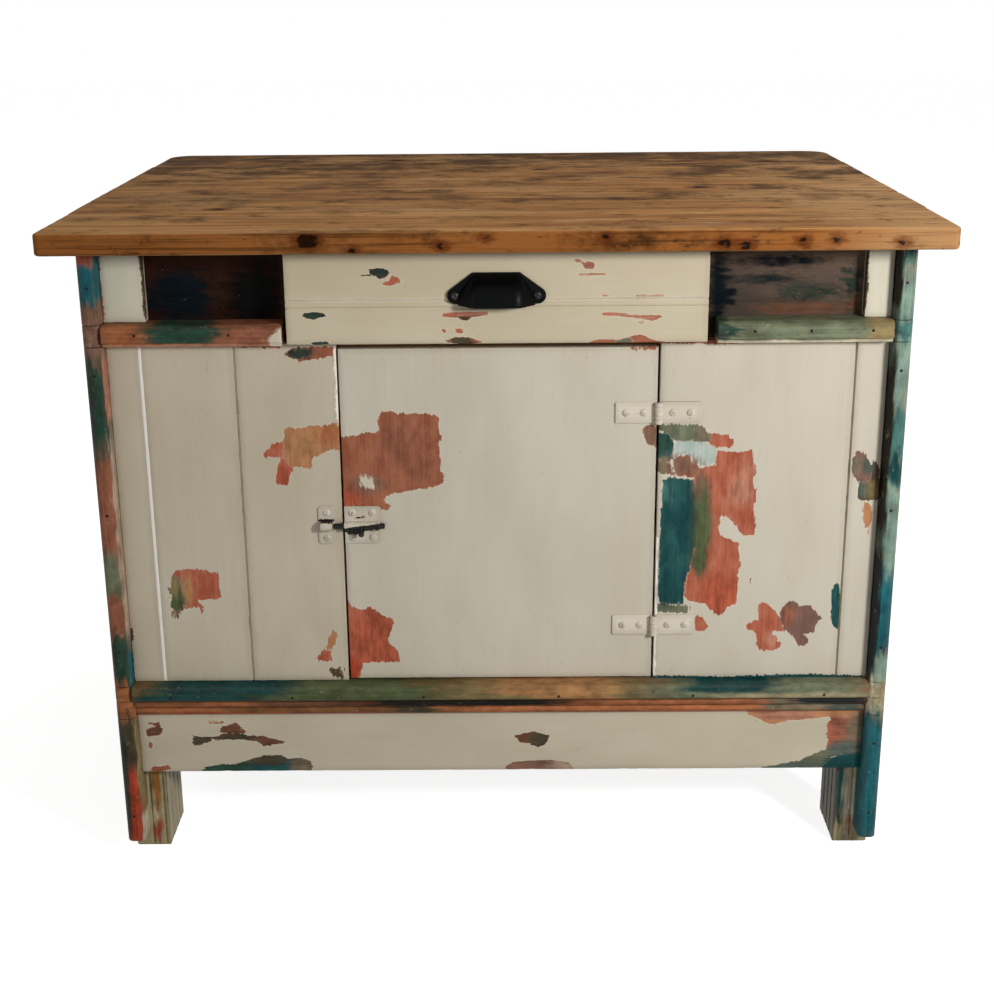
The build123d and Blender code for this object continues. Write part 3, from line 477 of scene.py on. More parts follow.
STAINS: dict[Board, tuple[Smudge, ...]] = {
    Board.RAIL_UPPER: (
        strip(-446, -236, 656, 684, Paint.COPPER),
        strip(-395, -308, 656, 684, Paint.BOTTLE_GREEN),
        strip(-308, -236, 656, 684, Paint.BRICK),
        strip(236, 447, 656, 684, Paint.SAGE),
        strip(236, 262, 656, 684, Paint.BOTTLE_GREEN),
        strip(410, 447, 656, 684, Paint.STRAW),
        strip(-446, -236, 650, 658, Paint.ROSE),
        strip(236, 447, 650, 658, Paint.CREAM),
    ),
    Board.RAIL_LOWER: (
        strip(-446, -60, 212, 240, Paint.MOSS),
        strip(-60, 180, 212, 240, Paint.OCHRE),
        strip(180, 446, 212, 240, Paint.SAGE),
        strip(-420, -250, 226, 240, Paint.DEEP_TEAL),
        strip(-446, -290, 212, 226, Paint.DEEP_TEAL),
        strip(-10, 140, 224, 240, Paint.HONEY),
        strip(40, 140, 212, 226, Paint.HONEY),
        strip(220, 330, 226, 240, Paint.DEEP_TEAL),
        # The sand along the lower edge of the right half is partly paint, partly painted highlight on the
        # rounded edge.
        strip(270, 446, 212, 224, Paint.SAND),
    ),
    Board.MOULDING: (
        strip(-446, 446, 186, 220, Paint.COPPER),
        strip(-350, -60, 190, 206, Paint.WALNUT),
        strip(-300, -170, 205, 220, Paint.CHESTNUT),
        strip(-180, 92, 205, 220, Paint.BLACK_AND_SHADE),
        strip(-130, -80, 190, 205, Paint.UMBER),
        strip(320, 400, 190, 220, Paint.DUST),
        strip(360, 446, 205, 220, Paint.NIGHT_BLUE),
        strip(400, 446, 190, 205, Paint.SLATE),
        strip(-446, -130, 186, 196, Paint.RED),
        strip(95, 330, 186, 196, Paint.TERRACOTTA),
    ),
    Board.BEAD_LEFT: (
        strip(-470, -440, 752, 770, Paint.TERRACOTTA),
        strip(-470, -440, 703, 752, Paint.PEACOCK),
        strip(-470, -440, 640, 703, Paint.CLAY),
        strip(-470, -440, 517, 640, Paint.BOTTLE_GREEN),
        strip(-470, -440, 300, 517, Paint.BRICK),
        strip(-470, -440, 355, 405, Paint.SAGE),
        strip(-470, -440, 236, 300, Paint.BOTTLE_GREEN),
        strip(-470, -440, 192, 236, Paint.COPPER),
        strip(-470, -440, 118, 192, Paint.UMBER),
        strip(-470, -440, 10, 118, Paint.RED),
        # Strips on the bead's inner, right-facing side: their pale colours are partly paint, partly painted
        # highlight where that side faces the light.
        strip(-447, -442, 703, 766, Paint.PEACOCK),
        strip(-447, -442, 560, 655, Paint.ROSE),
        strip(-447, -442, 288, 560, Paint.PUTTY),
        strip(-447, -442, 236, 288, Paint.PEACOCK),
        strip(-447, -442, 60, 190, Paint.STRAW),
        strip(-447, -442, 20, 60, Paint.CREAM),
        # The dark green on the bead's outer, left-facing part is partly paint, partly painted shade.
        strip(-470, -458, 30, 192, Paint.DARK_GREEN),
        strip(-470, -458, 560, 640, Paint.DARK_GREEN),
        strip(-470, -458, 255, 300, Paint.DARK_GREEN),
    ),
    Board.BEAD_RIGHT: (
        strip(440, 470, 740, 770, Paint.DEEP_TEAL),
        strip(440, 470, 580, 740, Paint.PALE_GREEN),
        strip(440, 470, 655, 680, Paint.SEA_GREEN),
        strip(440, 470, 518, 580, Paint.SEA_GREEN),
        strip(440, 470, 484, 518, Paint.DEEP_TEAL),
        strip(440, 470, 377, 484, Paint.PALE_GREEN),
        strip(440, 470, 275, 377, Paint.PEACOCK),
        strip(440, 470, 236, 275, Paint.PALE_GREEN),
        strip(440, 470, 192, 236, Paint.SAND),
        strip(440, 470, 10, 192, Paint.PEACOCK),
        # Strips on the bead's inner, left-facing side: the black and night blue are painted shade on the side
        # turned from the light; the cream and peacock below are paint.
        strip(442, 450.5, 680, 768, Paint.BLACK_AND_SHADE),
        strip(442, 450.5, 410, 655, Paint.BLACK_AND_SHADE),
        strip(442, 450.5, 236, 410, Paint.NIGHT_BLUE),
        strip(442, 450.5, 192, 236, Paint.CREAM),
        strip(442, 450.5, 10, 192, Paint.PEACOCK),
    ),
    Board.LEG_FRONT: (
        Smudge(-433.5, 84, 6, 36, Paint.AMBER),
        Smudge(-441, 60, 3, 60, Paint.SAND),
        Smudge(-438.5, 48, 4, 10, Paint.CREAM, 0.9),
        Smudge(-436, 24, 7, 14, Paint.TERRACOTTA, 0.9),
        Smudge(-425, 60, 3, 60, Paint.SAND, 0.9),
        Smudge(427, 72, 8, 36, Paint.DEEP_TEAL),
        Smudge(427, 32, 5, 12, Paint.DARK_GREEN, 0.8),
        Smudge(438, 62, 7, 62, Paint.CREAM),
        Smudge(440, 25, 5, 12, Paint.COPPER, 0.7),
        Smudge(420, 60, 2.5, 60, Paint.UMBER, 0.9),
    ),
    Board.PANELS: (
        Smudge(-358, 708, 42, 34, Paint.INK, 0.9),
        Smudge(-275, 706, 32, 40, Paint.BLACK_AND_SHADE, 0.9),
        Smudge(-320, 755, 90, 8, Paint.DARK_OAK, 0.7),
        Smudge(-318, 716, 9, 34, Paint.DARK_OAK, 0.6),
        Smudge(322, 742, 50, 8, Paint.INK, 0.8),
        Smudge(305, 722, 40, 7, Paint.NIGHT_BLUE, 0.7),
        Smudge(250, 706, 14, 56, Paint.INK, 0.9),
        Smudge(352, 706, 40, 12, Paint.DARK_GREEN, 0.7),
        Smudge(345, 688, 60, 8, Paint.CHESTNUT, 0.7),
        Smudge(402, 712, 7, 30, Paint.DARK_GREEN, 0.8),
        Smudge(405, 695, 6, 10, Paint.CHESTNUT, 0.8),
    ),
}

TINTS: dict[Board, tuple[Smudge, ...]] = {
    Board.DRAWER: (
        Smudge(-134, 738, 18, 6, Paint.DARK_GREEN),
        Smudge(-203, 690, 16, 6, Paint.DARK_GREEN),
        Smudge(-37, 686, 11, 4, Paint.DARK_OAK),
        Smudge(-40, 660, 15, 5, Paint.UMBER),
        Smudge(-198, 659, 14, 4, Paint.DARK_GREEN),
        Smudge(150, 686, 40, 6, Paint.ROSE, 0.7),
        Smudge(-15, 691, 24, 5, Paint.ROSE, 0.7),
        Smudge(100, 744, 22, 8, Paint.ROSE, 0.7),
    ),
    Board.DOOR: (
        Smudge(-173, 472, 13, 13, Paint.TERRACOTTA),
        Smudge(-108, 536, 34, 30, Paint.BRICK, 0.7),
        Smudge(-92, 504, 24, 16, Paint.BRICK, 0.6),
        Smudge(-150, 485, 22, 12, Paint.CLAY, 0.8),
        Smudge(177, 543, 14, 16, Paint.CLAY),
        Smudge(-152, 285, 36, 46, Paint.TERRACOTTA, 0.75),
        Smudge(-178, 252, 9, 14, Paint.RED),
    ),
    Board.PLANKS_LEFT: (
        Smudge(-386, 340, 8, 16, Paint.MOSS),
        Smudge(-386, 362, 8, 12, Paint.STRAW, 0.9),
        Smudge(-372, 352, 5, 18, Paint.HONEY),
        Smudge(-250, 497, 10, 12, Paint.TERRACOTTA),
        Smudge(-224, 643, 18, 8, Paint.DARK_GREEN, 0.9),
        Smudge(-194, 548, 16, 16, Paint.COPPER, 0.8),
        Smudge(-228, 533, 20, 14, Paint.HONEY, 0.6),
    ),
    Board.PLANKS_RIGHT: (
        Smudge(288, 488, 16, 26, Paint.ROSE, 0.6),
        Smudge(278, 466, 18, 14, Paint.ROSE, 0.5),
        Smudge(262, 345, 24, 26, Paint.TERRACOTTA),
        Smudge(196, 474, 10, 16, Paint.SEA_GREEN, 0.6),
        Smudge(202, 345, 14, 20, Paint.DEEP_TEAL, 0.7),
        Smudge(222, 435, 12, 40, Paint.DEEP_TEAL, 0.7),
        Smudge(238, 478, 11, 16, Paint.CLAY, 0.8),
        Smudge(240, 432, 11, 52, Paint.MOSS, 0.95),
        Smudge(236, 388, 10, 16, Paint.MOSS, 0.8),
        Smudge(215, 507, 22, 14, Paint.CLAY, 0.8),
        Smudge(190, 505, 10, 12, Paint.DUST, 0.9),
        Smudge(236, 546, 9, 10, Paint.DUST),
        Smudge(216, 550, 12, 8, Paint.SAGE),
        Smudge(192, 534, 8, 10, Paint.BOTTLE_GREEN),
        Smudge(330, 288, 10, 10, Paint.ROSE),
        Smudge(345, 315, 8, 16, Paint.BRICK),
        Smudge(418, 505, 8, 12, Paint.DUST),
        Smudge(432, 505, 7, 12, Paint.SLATE),
        Smudge(438, 475, 8, 12, Paint.OCHRE),
        Smudge(424, 475, 6, 12, Paint.SLATE),
    ),
    Board.APRON: (
        Smudge(-426, 168, 16, 14, Paint.CHESTNUT, 0.9),
        Smudge(-372, 157, 16, 12, Paint.UMBER, 0.9),
        Smudge(-326, 161, 26, 7, Paint.UMBER),
        Smudge(-285, 153, 18, 8, Paint.CHESTNUT, 0.9),
        Smudge(-332, 173, 18, 8, Paint.CHESTNUT, 0.9),
        Smudge(-345, 118, 34, 12, Paint.BOTTLE_GREEN),
        Smudge(-290, 130, 30, 8, Paint.UMBER),
        Smudge(-245, 120, 16, 12, Paint.DUST, 0.9),
        Smudge(26, 157, 14, 9, Paint.CHESTNUT),
        Smudge(50, 153, 14, 10, Paint.UMBER),
        Smudge(40, 118, 34, 9, Paint.CLAY, 0.9),
        Smudge(78, 118, 18, 9, Paint.PUTTY, 0.8),
        Smudge(350, 186, 40, 8, Paint.ROSE, 0.8),
        Smudge(440, 168, 18, 24, Paint.DUST, 0.9),
        Smudge(412, 172, 10, 18, Paint.BRICK, 0.8),
        Smudge(350, 117, 40, 10, Paint.SLATE, 0.9),
        Smudge(425, 142, 24, 9, Paint.SLATE, 0.9),
        Smudge(425, 120, 26, 12, Paint.DEEP_TEAL, 0.9),
    ),
}

# Each attribute with its table, and how far its streaks run along the piece in millimetres.
SMUDGES = (("stain", STAINS, 18.0), ("tint", TINTS, 4.0))


def linear(colour: str) -> tuple[float, float, float, float]:
    """Turn an sRGB hex value into linear red, green, blue and alpha.

    Args:
        colour: A value such as "#C9C1A9".

    Returns:
        The linear colour with full alpha.
    """
    parts = [int(colour[index:index + 2], 16) / 255 for index in (1, 3, 5)]
    red, green, blue = (
        part / 12.92 if part <= 0.04045 else ((part + 0.055) / 1.055) ** 2.4 for part in parts
    )
    return red, green, blue, 1.0


class Sheet:
    """A tree of nodes, and the material that it belongs to, if any."""

    def __init__(self, tree: bpy.types.NodeTree, material: bpy.types.Material | None = None) -> None:
        """Take up a tree.

        Args:
            tree: The tree of nodes.
            material: The material that it belongs to.
        """
        self.tree = tree
        self.material = material

    @classmethod
    def named(cls, name: str) -> "Sheet":
        """Start an empty sheet for a finish.

        Args:
            name: The finish's name.

        Returns:
            The sheet.
        """
        material = bpy.data.materials.new(name)
        material.use_nodes = True
        material.node_tree.nodes.clear()
        return cls(material.node_tree, material)

    def add(
        self,
        kind: str,
        inputs: Mapping[int | str, object] | None = None,
        out: int | str = 0,
        **settings: object,
    ) -> Socket | None:
        """Add a node with its settings, its values and its links.

        Args:
            kind: Blender's name for the node.
            inputs: A value, or another node's output, for each input that is set.
            out: The output that is handed back.
            **settings: The node's own settings.

        Returns:
            The chosen output, or nothing for a node without one.
        """
        node = self.tree.nodes.new(kind)
        for name, value in settings.items():
            setattr(node, name, value)
        for key, value in (inputs or {}).items():
            if isinstance(value, Socket):
                self.tree.links.new(value, node.inputs[key])
            else:
                node.inputs[key].default_value = value
        return node.outputs[out] if node.outputs else None

    def edge_distance(self) -> Socket:
        """Measure how far a point on a board lies from the board's nearest edge.

        Returns:
            The distance in millimetres.
        """
        place = self.add("ShaderNodeTexCoord", out="Object")
        middle = self.add("ShaderNodeAttribute", out="Vector", attribute_name="box_mid")
        half = self.add("ShaderNodeAttribute", out="Vector", attribute_name="box_half")
        offset = self.add("ShaderNodeVectorMath", {0: place, 1: middle}, operation="SUBTRACT")
        reach = self.add("ShaderNodeVectorMath", {0: offset}, operation="ABSOLUTE")
        inset = self.add("ShaderNodeVectorMath", {0: half, 1: reach}, operation="SUBTRACT")
        scaled = self.add("ShaderNodeVectorMath", {0: inset, 3: 1 / MM}, operation="SCALE")
        parts = self.add("ShaderNodeSeparateXYZ", {0: scaled}).node.outputs
        lesser = self.add("ShaderNodeMath", {0: parts[0], 1: parts[1]}, operation="MINIMUM")
        greater = self.add("ShaderNodeMath", {0: parts[0], 1: parts[1]}, operation="MAXIMUM")
        second = self.add("ShaderNodeMath", {0: greater, 1: parts[2]}, operation="MINIMUM")
        return self.add("ShaderNodeMath", {0: lesser, 1: second}, operation="MAXIMUM")

    def over(self, colour: Socket, figure: Socket, span: Pair, share: float, hue: str) -> Socket:
        """Lay a colour where a figure passes from one value to another.

        Args:
            colour: The colour so far.
            figure: The figure.
            span: The figure's values where the new colour starts and where it is full.
            share: How far it covers at the most.
            hue: The new colour as an sRGB hex value.

        Returns:
            The colour with the new one over it.
        """
        limits = {0: figure, 1: span[0], 2: span[1], 4: share}
        cover = self.add("ShaderNodeMapRange", limits, interpolation_type="SMOOTHSTEP")
        return self.add("ShaderNodeMix", {0: cover, 6: colour, 7: linear(hue)}, **COLOUR_MIX)

    def close(
        self, colour: Socket, rough: Socket, gloss: float, height: Socket, metallic: float = 0.0
    ) -> bpy.types.Material:
        """End the sheet in a shader with a bump.

        Args:
            colour: The surface's colour.
            rough: Its roughness.
            gloss: How strongly it reflects.
            height: Its height in millimetres.
            metallic: How far it is bare metal.

        Returns:
            The finished material.
        """
        bump = self.add("ShaderNodeBump", {"Strength": 1.0, "Distance": MM, "Height": height})
        look = {"Base Color": colour, "Roughness": rough, "Specular IOR Level": gloss, "Metallic": metallic}
        shader = self.add("ShaderNodeBsdfPrincipled", {**look, "Normal": bump})
        self.add("ShaderNodeOutputMaterial", {"Surface": shader})
        return self.material


@dataclass(frozen=True)
class Figure:
    """A figure of grain, brush marks or blotches, sized in millimetres along and across the board."""

    along: float
    across: float
    detail: float = 3.0
    rough: float = 0.5

    def draw(self, sheet: Sheet) -> Socket:
        """Draw the figure on a sheet.

        Args:
            sheet: The finish's sheet.

        Returns:
            The figure's value, about 0.5 on average.
        """
        run = sheet.add("ShaderNodeAttribute", out="Vector", attribute_name="grain")
        size = (1 / self.along, 1 / self.across, 1 / self.across)
        scaled = sheet.add("ShaderNodeVectorMath", {0: run, 1: size}, operation="MULTIPLY")
        return sheet.add(
            "ShaderNodeTexNoise",
            {"Vector": scaled, "Scale": 1.0, "Detail": self.detail, "Roughness": self.rough},
        )


@dataclass(frozen=True)
class WornPaint:
    """Old oil paint, brushed in many coats on planks and worn through in patches.

    Each coat is a film with a crisp, ragged edge. The eye sees brush streaks along the board, a darker colour
    towards the edges, bare coats under chips, and a soft gloss on the paint that the bare timber lacks.
    """

    name: str
    base: Tone
    under: Tone
    board: Board | None = None
    ragged: float = 3.6
    wear: float = 0.9
    specks: float = 0.35
    flecks: float = 0.0
    scatter: tuple[Layer, ...] = ()
    gloss: float = 0.16
    edge_darkening: str = "#6B5B45"
    pale_rim_and_highlight: str = "#E2CDB8"
    pale_fleck: str = "#BDAF92"
    film_mm: float = 0.22
    brush_mm: float = 0.07
    crust_mm: float = 0.04
    blotch_span: Pair = (0.55, 0.9)

    def layers(self) -> list[Layer]:
        """List the coats that this finish's patches show."""
        shown = {patch.layer for patch in PATCHES.get(self.board, ())}
        return [layer for layer in Layer if layer in shown]

    def build(self) -> bpy.types.Material:
        """Build the finish.

        Returns:
            The material.
        """
        sheet = Sheet.named(self.name)
        soft = {"interpolation_type": "SMOOTHSTEP"}
        cloud = Figure(150, 70, 3).draw(sheet)
        brush = Figure(85, 2.4, 3).draw(sheet)
        mottle = Figure(26, 13, 5, 0.62).draw(sheet)
        flake = Figure(3.4 * self.ragged, 1.3 * self.ragged, 5, 0.62).draw(sheet)
        fleck = Figure(7, 3.4, 3, 0.6).draw(sheet)
        crust = Figure(2.2, 1.4, 2).draw(sheet)
        streak = sheet.add("ShaderNodeMath", {0: brush, 1: 0.25, 2: cloud}, operation="MULTIPLY_ADD")
        blotch = sheet.add("ShaderNodeMath", {0: brush, 1: 0.45, 2: mottle}, operation="MULTIPLY_ADD")
        colour = self.base.draw(sheet, streak, (0.42, 0.82))
        if self.board in STAINS:
            colour = self.stain(sheet, "stain", flake, blotch, colour, 1.0)
        inset = sheet.edge_distance()
        ends = {3: -self.ragged, 4: self.ragged}
        flake_mm = sheet.add("ShaderNodeMapRange", {0: flake, 1: 0.25, 2: 0.75, **ends})
        near = sheet.add("ShaderNodeMath", {0: flake_mm, 1: inset}, operation="ADD")
        # Darker towards each board's edges.
        colour = sheet.over(colour, near, (9.0, 0.0), 0.16, self.edge_darkening)
        bare = 0.0
        for index, layer in enumerate(self.scatter):
            place = Figure(170, 85, 4, 0.55).draw(sheet)
            shift = sheet.add("ShaderNodeMath", {0: place, 1: 0.03 * index}, operation="SUBTRACT")
            loose = sheet.add("ShaderNodeMath", {0: flake, 1: 0.16, 2: shift}, operation="MULTIPLY_ADD")
            mask = sheet.add("ShaderNodeMapRange", {0: loose, 1: 0.7, 2: 0.712}, **soft)
            colour, bare = self.lay(sheet, layer, mask, colour, bare, blotch)
        for layer in self.layers():
            field = sheet.add("ShaderNodeAttribute", out="Fac", attribute_name=layer.value)
            depth = sheet.add("ShaderNodeMath", {0: field, 1: flake_mm}, operation="ADD")
            # A pale rim round each patch: partly the paint film's own edge colour, partly a painted highlight
            # on that edge.
            rim = sheet.add("ShaderNodeMath", {0: depth, 1: -0.8, 2: 0.6}, operation="COMPARE")
            colour = sheet.over(colour, rim, (0.0, 1.0), 0.3, self.pale_rim_and_highlight)
            mask = sheet.add("ShaderNodeMapRange", {0: depth, 1: -0.4, 2: 0.4}, **soft)
            colour, bare = self.lay(sheet, layer, mask, colour, bare, blotch)
        if self.board in TINTS:
            colour = self.stain(sheet, "tint", flake, blotch, colour, bare)
        if self.flecks:
            dab = Figure(13, 5, 6, 0.75).draw(sheet)
            colour = sheet.over(colour, dab, (0.6, 0.68), self.flecks, self.pale_fleck)
        gate = sheet.add("ShaderNodeMapRange", {0: cloud, 1: 0.44, 2: 0.6, 3: -self.wear, 4: self.wear})
        worn = sheet.add("ShaderNodeMath", {0: gate, 1: inset}, operation="SUBTRACT")
        chipped = sheet.add("ShaderNodeMath", {0: flake_mm, 1: 0.35, 2: worn}, operation="MULTIPLY_ADD")
        edge = sheet.add("ShaderNodeMapRange", {0: chipped, 1: -0.3, 2: 0.3}, **soft)
        speck = sheet.add("ShaderNodeMapRange", {0: fleck, 1: 0.7, 2: 0.725, 4: self.specks}, **soft)
        chips = sheet.add("ShaderNodeMath", {0: edge, 1: speck}, operation="MAXIMUM")
        under = self.under.draw(sheet, brush, (0.0, 1.0))
        colour = sheet.add("ShaderNodeMix", {0: chips, 6: colour, 7: under}, **COLOUR_MIX)
        bare = sheet.add("ShaderNodeMath", {0: chips, 1: bare}, operation="MAXIMUM")
        rough = sheet.add("ShaderNodeMapRange", {0: bare, 3: self.base.rough, 4: self.under.rough})
        film = sheet.add("ShaderNodeMath", {0: bare, 1: -self.film_mm}, operation="MULTIPLY")
        height = film
        for figure, rise in ((brush, self.brush_mm), (crust, self.crust_mm)):
            height = sheet.add("ShaderNodeMath", {0: figure, 1: rise, 2: height}, operation="MULTIPLY_ADD")
        return sheet.close(colour, rough, self.gloss, height)

    def stain(
        self, sheet: Sheet, name: str, flake: Socket, blotch: Socket, colour: Socket, limit: Socket | float
    ) -> Socket:
        """Spread soft smudges over what the sheet already shows.

        Args:
            sheet: The finish's sheet.
            name: The attribute that holds the smudges' colour.
            flake: The figure that roughens their outlines.
            blotch: The blotches that vary their colour.
            colour: The colour so far.
            limit: Where smudges may show.

        Returns:
            The new colour.
        """
        hue = sheet.add("ShaderNodeAttribute", out="Color", attribute_name=name)
        share = sheet.add("ShaderNodeAttribute", out="Fac", attribute_name=f"{name}_share")
        start, end = self.blotch_span
        value = sheet.add("ShaderNodeMapRange", {0: blotch, 1: start, 2: end, 3: 1.28, 4: 0.58})
        toned = sheet.add("ShaderNodeHueSaturation", {"Value": value, "Color": hue})
        loose = sheet.add("ShaderNodeMath", {0: flake, 1: 1.1, 2: share}, operation="MULTIPLY_ADD")
        mask = sheet.add("ShaderNodeMapRange", {0: loose, 1: 0.65, 2: 1.45}, interpolation_type="SMOOTHSTEP")
        kept = sheet.add("ShaderNodeMath", {0: mask, 1: limit}, operation="MULTIPLY")
        return sheet.add("ShaderNodeMix", {0: kept, 6: colour, 7: toned}, **COLOUR_MIX)

    def lay(
        self, sheet: Sheet, layer: Layer, mask: Socket, colour: Socket, bare: Socket | float, blotch: Socket
    ) -> tuple[Socket, Socket]:
        """Lay one coat over what the sheet already shows.

        Args:
            sheet: The finish's sheet.
            layer: The coat.
            mask: Where the coat shows.
            colour: The colour so far.
            bare: How far the top coat has gone so far.
            blotch: The blotches that vary the coat's colour.

        Returns:
            The new colour, and how far the top coat has gone.
        """
        coat = TONES[layer].draw(sheet, blotch, self.blotch_span)
        colour = sheet.add("ShaderNodeMix", {0: mask, 6: colour, 7: coat}, **COLOUR_MIX)
        gone = 0.0 if layer is Layer.CREAM else 1.0
        return colour, sheet.add("ShaderNodeMix", {0: mask, 2: bare, 3: gone})


@dataclass(frozen=True)
class OiledPine:
    """Reclaimed pine boards, planed and oiled, for the worktop.

    The eye sees growth bands and fine dark lines along each board, broad dark stains, short marks, pale
    rubbed streaks, knots with a red ring, a browner sawn front edge, and hardly any gloss. The colour is
    painted lighter towards the right and, partly as painted shade, darker towards the back.
    """

    name: str
    tone: Tone
    stain: str = "#2E1B0C"
    worn: str = "#B48D62"
    front: str = "#8C5225"
    pit: str = "#1C1008"
    ring: str = "#5A2A12"
    heart: str = "#190D07"
    gloss: float = 0.004

    def build(self) -> bpy.types.Material:
        """Build the finish.

        Returns:
            The material.
        """
        sheet = Sheet.named(self.name)
        bands = Figure(480, 30, 5, 0.6).draw(sheet)
        lines = Figure(170, 3.4, 4, 0.62).draw(sheet)
        stain = Figure(105, 80, 6, 0.72).draw(sheet)
        mark = Figure(46, 22, 5, 0.7).draw(sheet)
        rubbed = Figure(150, 17, 5, 0.62).draw(sheet)
        cloud = Figure(360, 170, 3).draw(sheet)
        grit = Figure(9, 4, 4, 0.6).draw(sheet)
        own = sheet.add("ShaderNodeAttribute", out="Fac", attribute_name="tone")
        knot = sheet.add("ShaderNodeAttribute", out="Fac", attribute_name="knot")
        place = sheet.add("ShaderNodeTexCoord", out="Object")
        facing = sheet.add("ShaderNodeNewGeometry", out="Normal")
        forward = sheet.add("ShaderNodeSeparateXYZ", {0: facing}, out=1)
        side, back = sheet.add("ShaderNodeSeparateXYZ", {0: place}).node.outputs[:2]
        # Pale worn colour that follows the cloud and spreads towards the right: wear, and painted light from
        # the right.
        pale_wear_and_light_right = sheet.add("ShaderNodeMath", {0: cloud, 1: 0.5, 2: side}, operation="MULTIPLY_ADD")
        # Dark stain that spreads towards the back: stain, and partly painted shade.
        stain_and_shade_back = sheet.add("ShaderNodeMath", {0: back, 1: 0.24, 2: stain}, operation="MULTIPLY_ADD")
        loose = sheet.add("ShaderNodeMapRange", {0: grit, 1: 0.3, 2: 0.7, 3: -2.4, 4: 2.4})
        knot_mm = sheet.add("ShaderNodeMath", {0: knot, 1: loose}, operation="ADD")
        inset = sheet.edge_distance()
        colour = self.tone.draw(sheet, bands, (0.38, 0.62))
        for figure, span, share, hue in (
            (cloud, (0.42, 0.66), 0.5, self.worn),
            (rubbed, (0.53, 0.68), 0.7, self.worn),
            (forward, (-0.5, -0.9), 0.85, self.front),
            (pale_wear_and_light_right, (0.5, 0.75), 0.6, self.worn),
            (lines, (0.46, 0.68), 0.6, self.stain),
            (stain_and_shade_back, (0.43, 0.66), 0.84, self.stain),
            (mark, (0.57, 0.69), 0.72, self.stain),
            (grit, (0.66, 0.72), 0.6, self.pit),
            (knot_mm, (-9.0, -2.0), 0.7, self.ring),
            (knot_mm, (-2.0, 1.0), 0.95, self.heart),
            (inset, (2.6, 0.4), 0.35, self.worn),
        ):
            colour = sheet.over(colour, figure, span, share, hue)
        board = sheet.add("ShaderNodeMapRange", {0: own, 3: 0.9, 4: 1.1})
        # Darker towards the back: partly the boards' own colour, partly painted shade.
        darker_and_shaded_back = sheet.add("ShaderNodeMapRange", {0: back, 1: -0.39, 2: 0.39, 3: 1.0, 4: 0.84})
        # Lighter towards the right: painted light.
        painted_light_right = sheet.add("ShaderNodeMapRange", {0: side, 1: -0.5, 2: 0.5, 3: 0.94, 4: 1.06})
        value = sheet.add("ShaderNodeMath", {0: board, 1: darker_and_shaded_back}, operation="MULTIPLY")
        value = sheet.add("ShaderNodeMath", {0: value, 1: painted_light_right}, operation="MULTIPLY")
        colour = sheet.add("ShaderNodeHueSaturation", {"Value": value, "Color": colour})
        smooth = self.tone.rough
        rough = sheet.add("ShaderNodeMapRange", {0: cloud, 1: 0.3, 2: 0.7, 3: smooth, 4: smooth + 0.14})
        grooves = sheet.add("ShaderNodeMath", {0: lines, 1: -0.2}, operation="MULTIPLY")
        height = sheet.add("ShaderNodeMath", {0: mark, 1: -0.3, 2: grooves}, operation="MULTIPLY_ADD")
        return sheet.close(colour, rough, self.gloss, height)


@dataclass(frozen=True)
class SawnTimber:
    """Bare or stained softwood, sawn and left dry, for the inside and the joints of the sides.

    The eye sees growth lines along the board, blotches of stain, pale flecks, and hardly any gloss.
    """

    name: str
    tone: Tone
    blotch: str
    fleck: str
    blotch_share: float = 0.5
    fleck_share: float = 0.4
    gloss: float = 0.2

    def build(self) -> bpy.types.Material:
        """Build the finish.

        Returns:
            The material.
        """
        sheet = Sheet.named(self.name)
        bands = Figure(300, 8, 4, 0.6).draw(sheet)
        lines = Figure(90, 1.4, 3, 0.6).draw(sheet)
        cloud = Figure(80, 28, 4, 0.6).draw(sheet)
        fleck = Figure(9, 3.2, 4, 0.65).draw(sheet)
        colour = self.tone.draw(sheet, bands, (0.35, 0.65))
        fine = sheet.add("ShaderNodeMapRange", {0: lines, 1: 0.45, 2: 0.7, 4: 0.5})
        colour = sheet.add("ShaderNodeMix", {0: fine, 6: colour, 7: linear(self.tone.dark)}, **COLOUR_MIX)
        colour = sheet.over(colour, cloud, (0.5, 0.62), self.blotch_share, self.blotch)
        colour = sheet.over(colour, fleck, (0.71, 0.74), self.fleck_share, self.fleck)
        own = sheet.add("ShaderNodeAttribute", out="Fac", attribute_name="tone")
        value = sheet.add("ShaderNodeMapRange", {0: own, 3: 0.85, 4: 1.12})
        colour = sheet.add("ShaderNodeHueSaturation", {"Value": value, "Color": colour})
        smooth = self.tone.rough
        rough = sheet.add("ShaderNodeMapRange", {0: cloud, 1: 0.3, 2: 0.7, 3: smooth, 4: smooth + 0.12})
        height = sheet.add("ShaderNodeMath", {0: lines, 1: -0.3}, operation="MULTIPLY")
        return sheet.close(colour, rough, self.gloss, height)


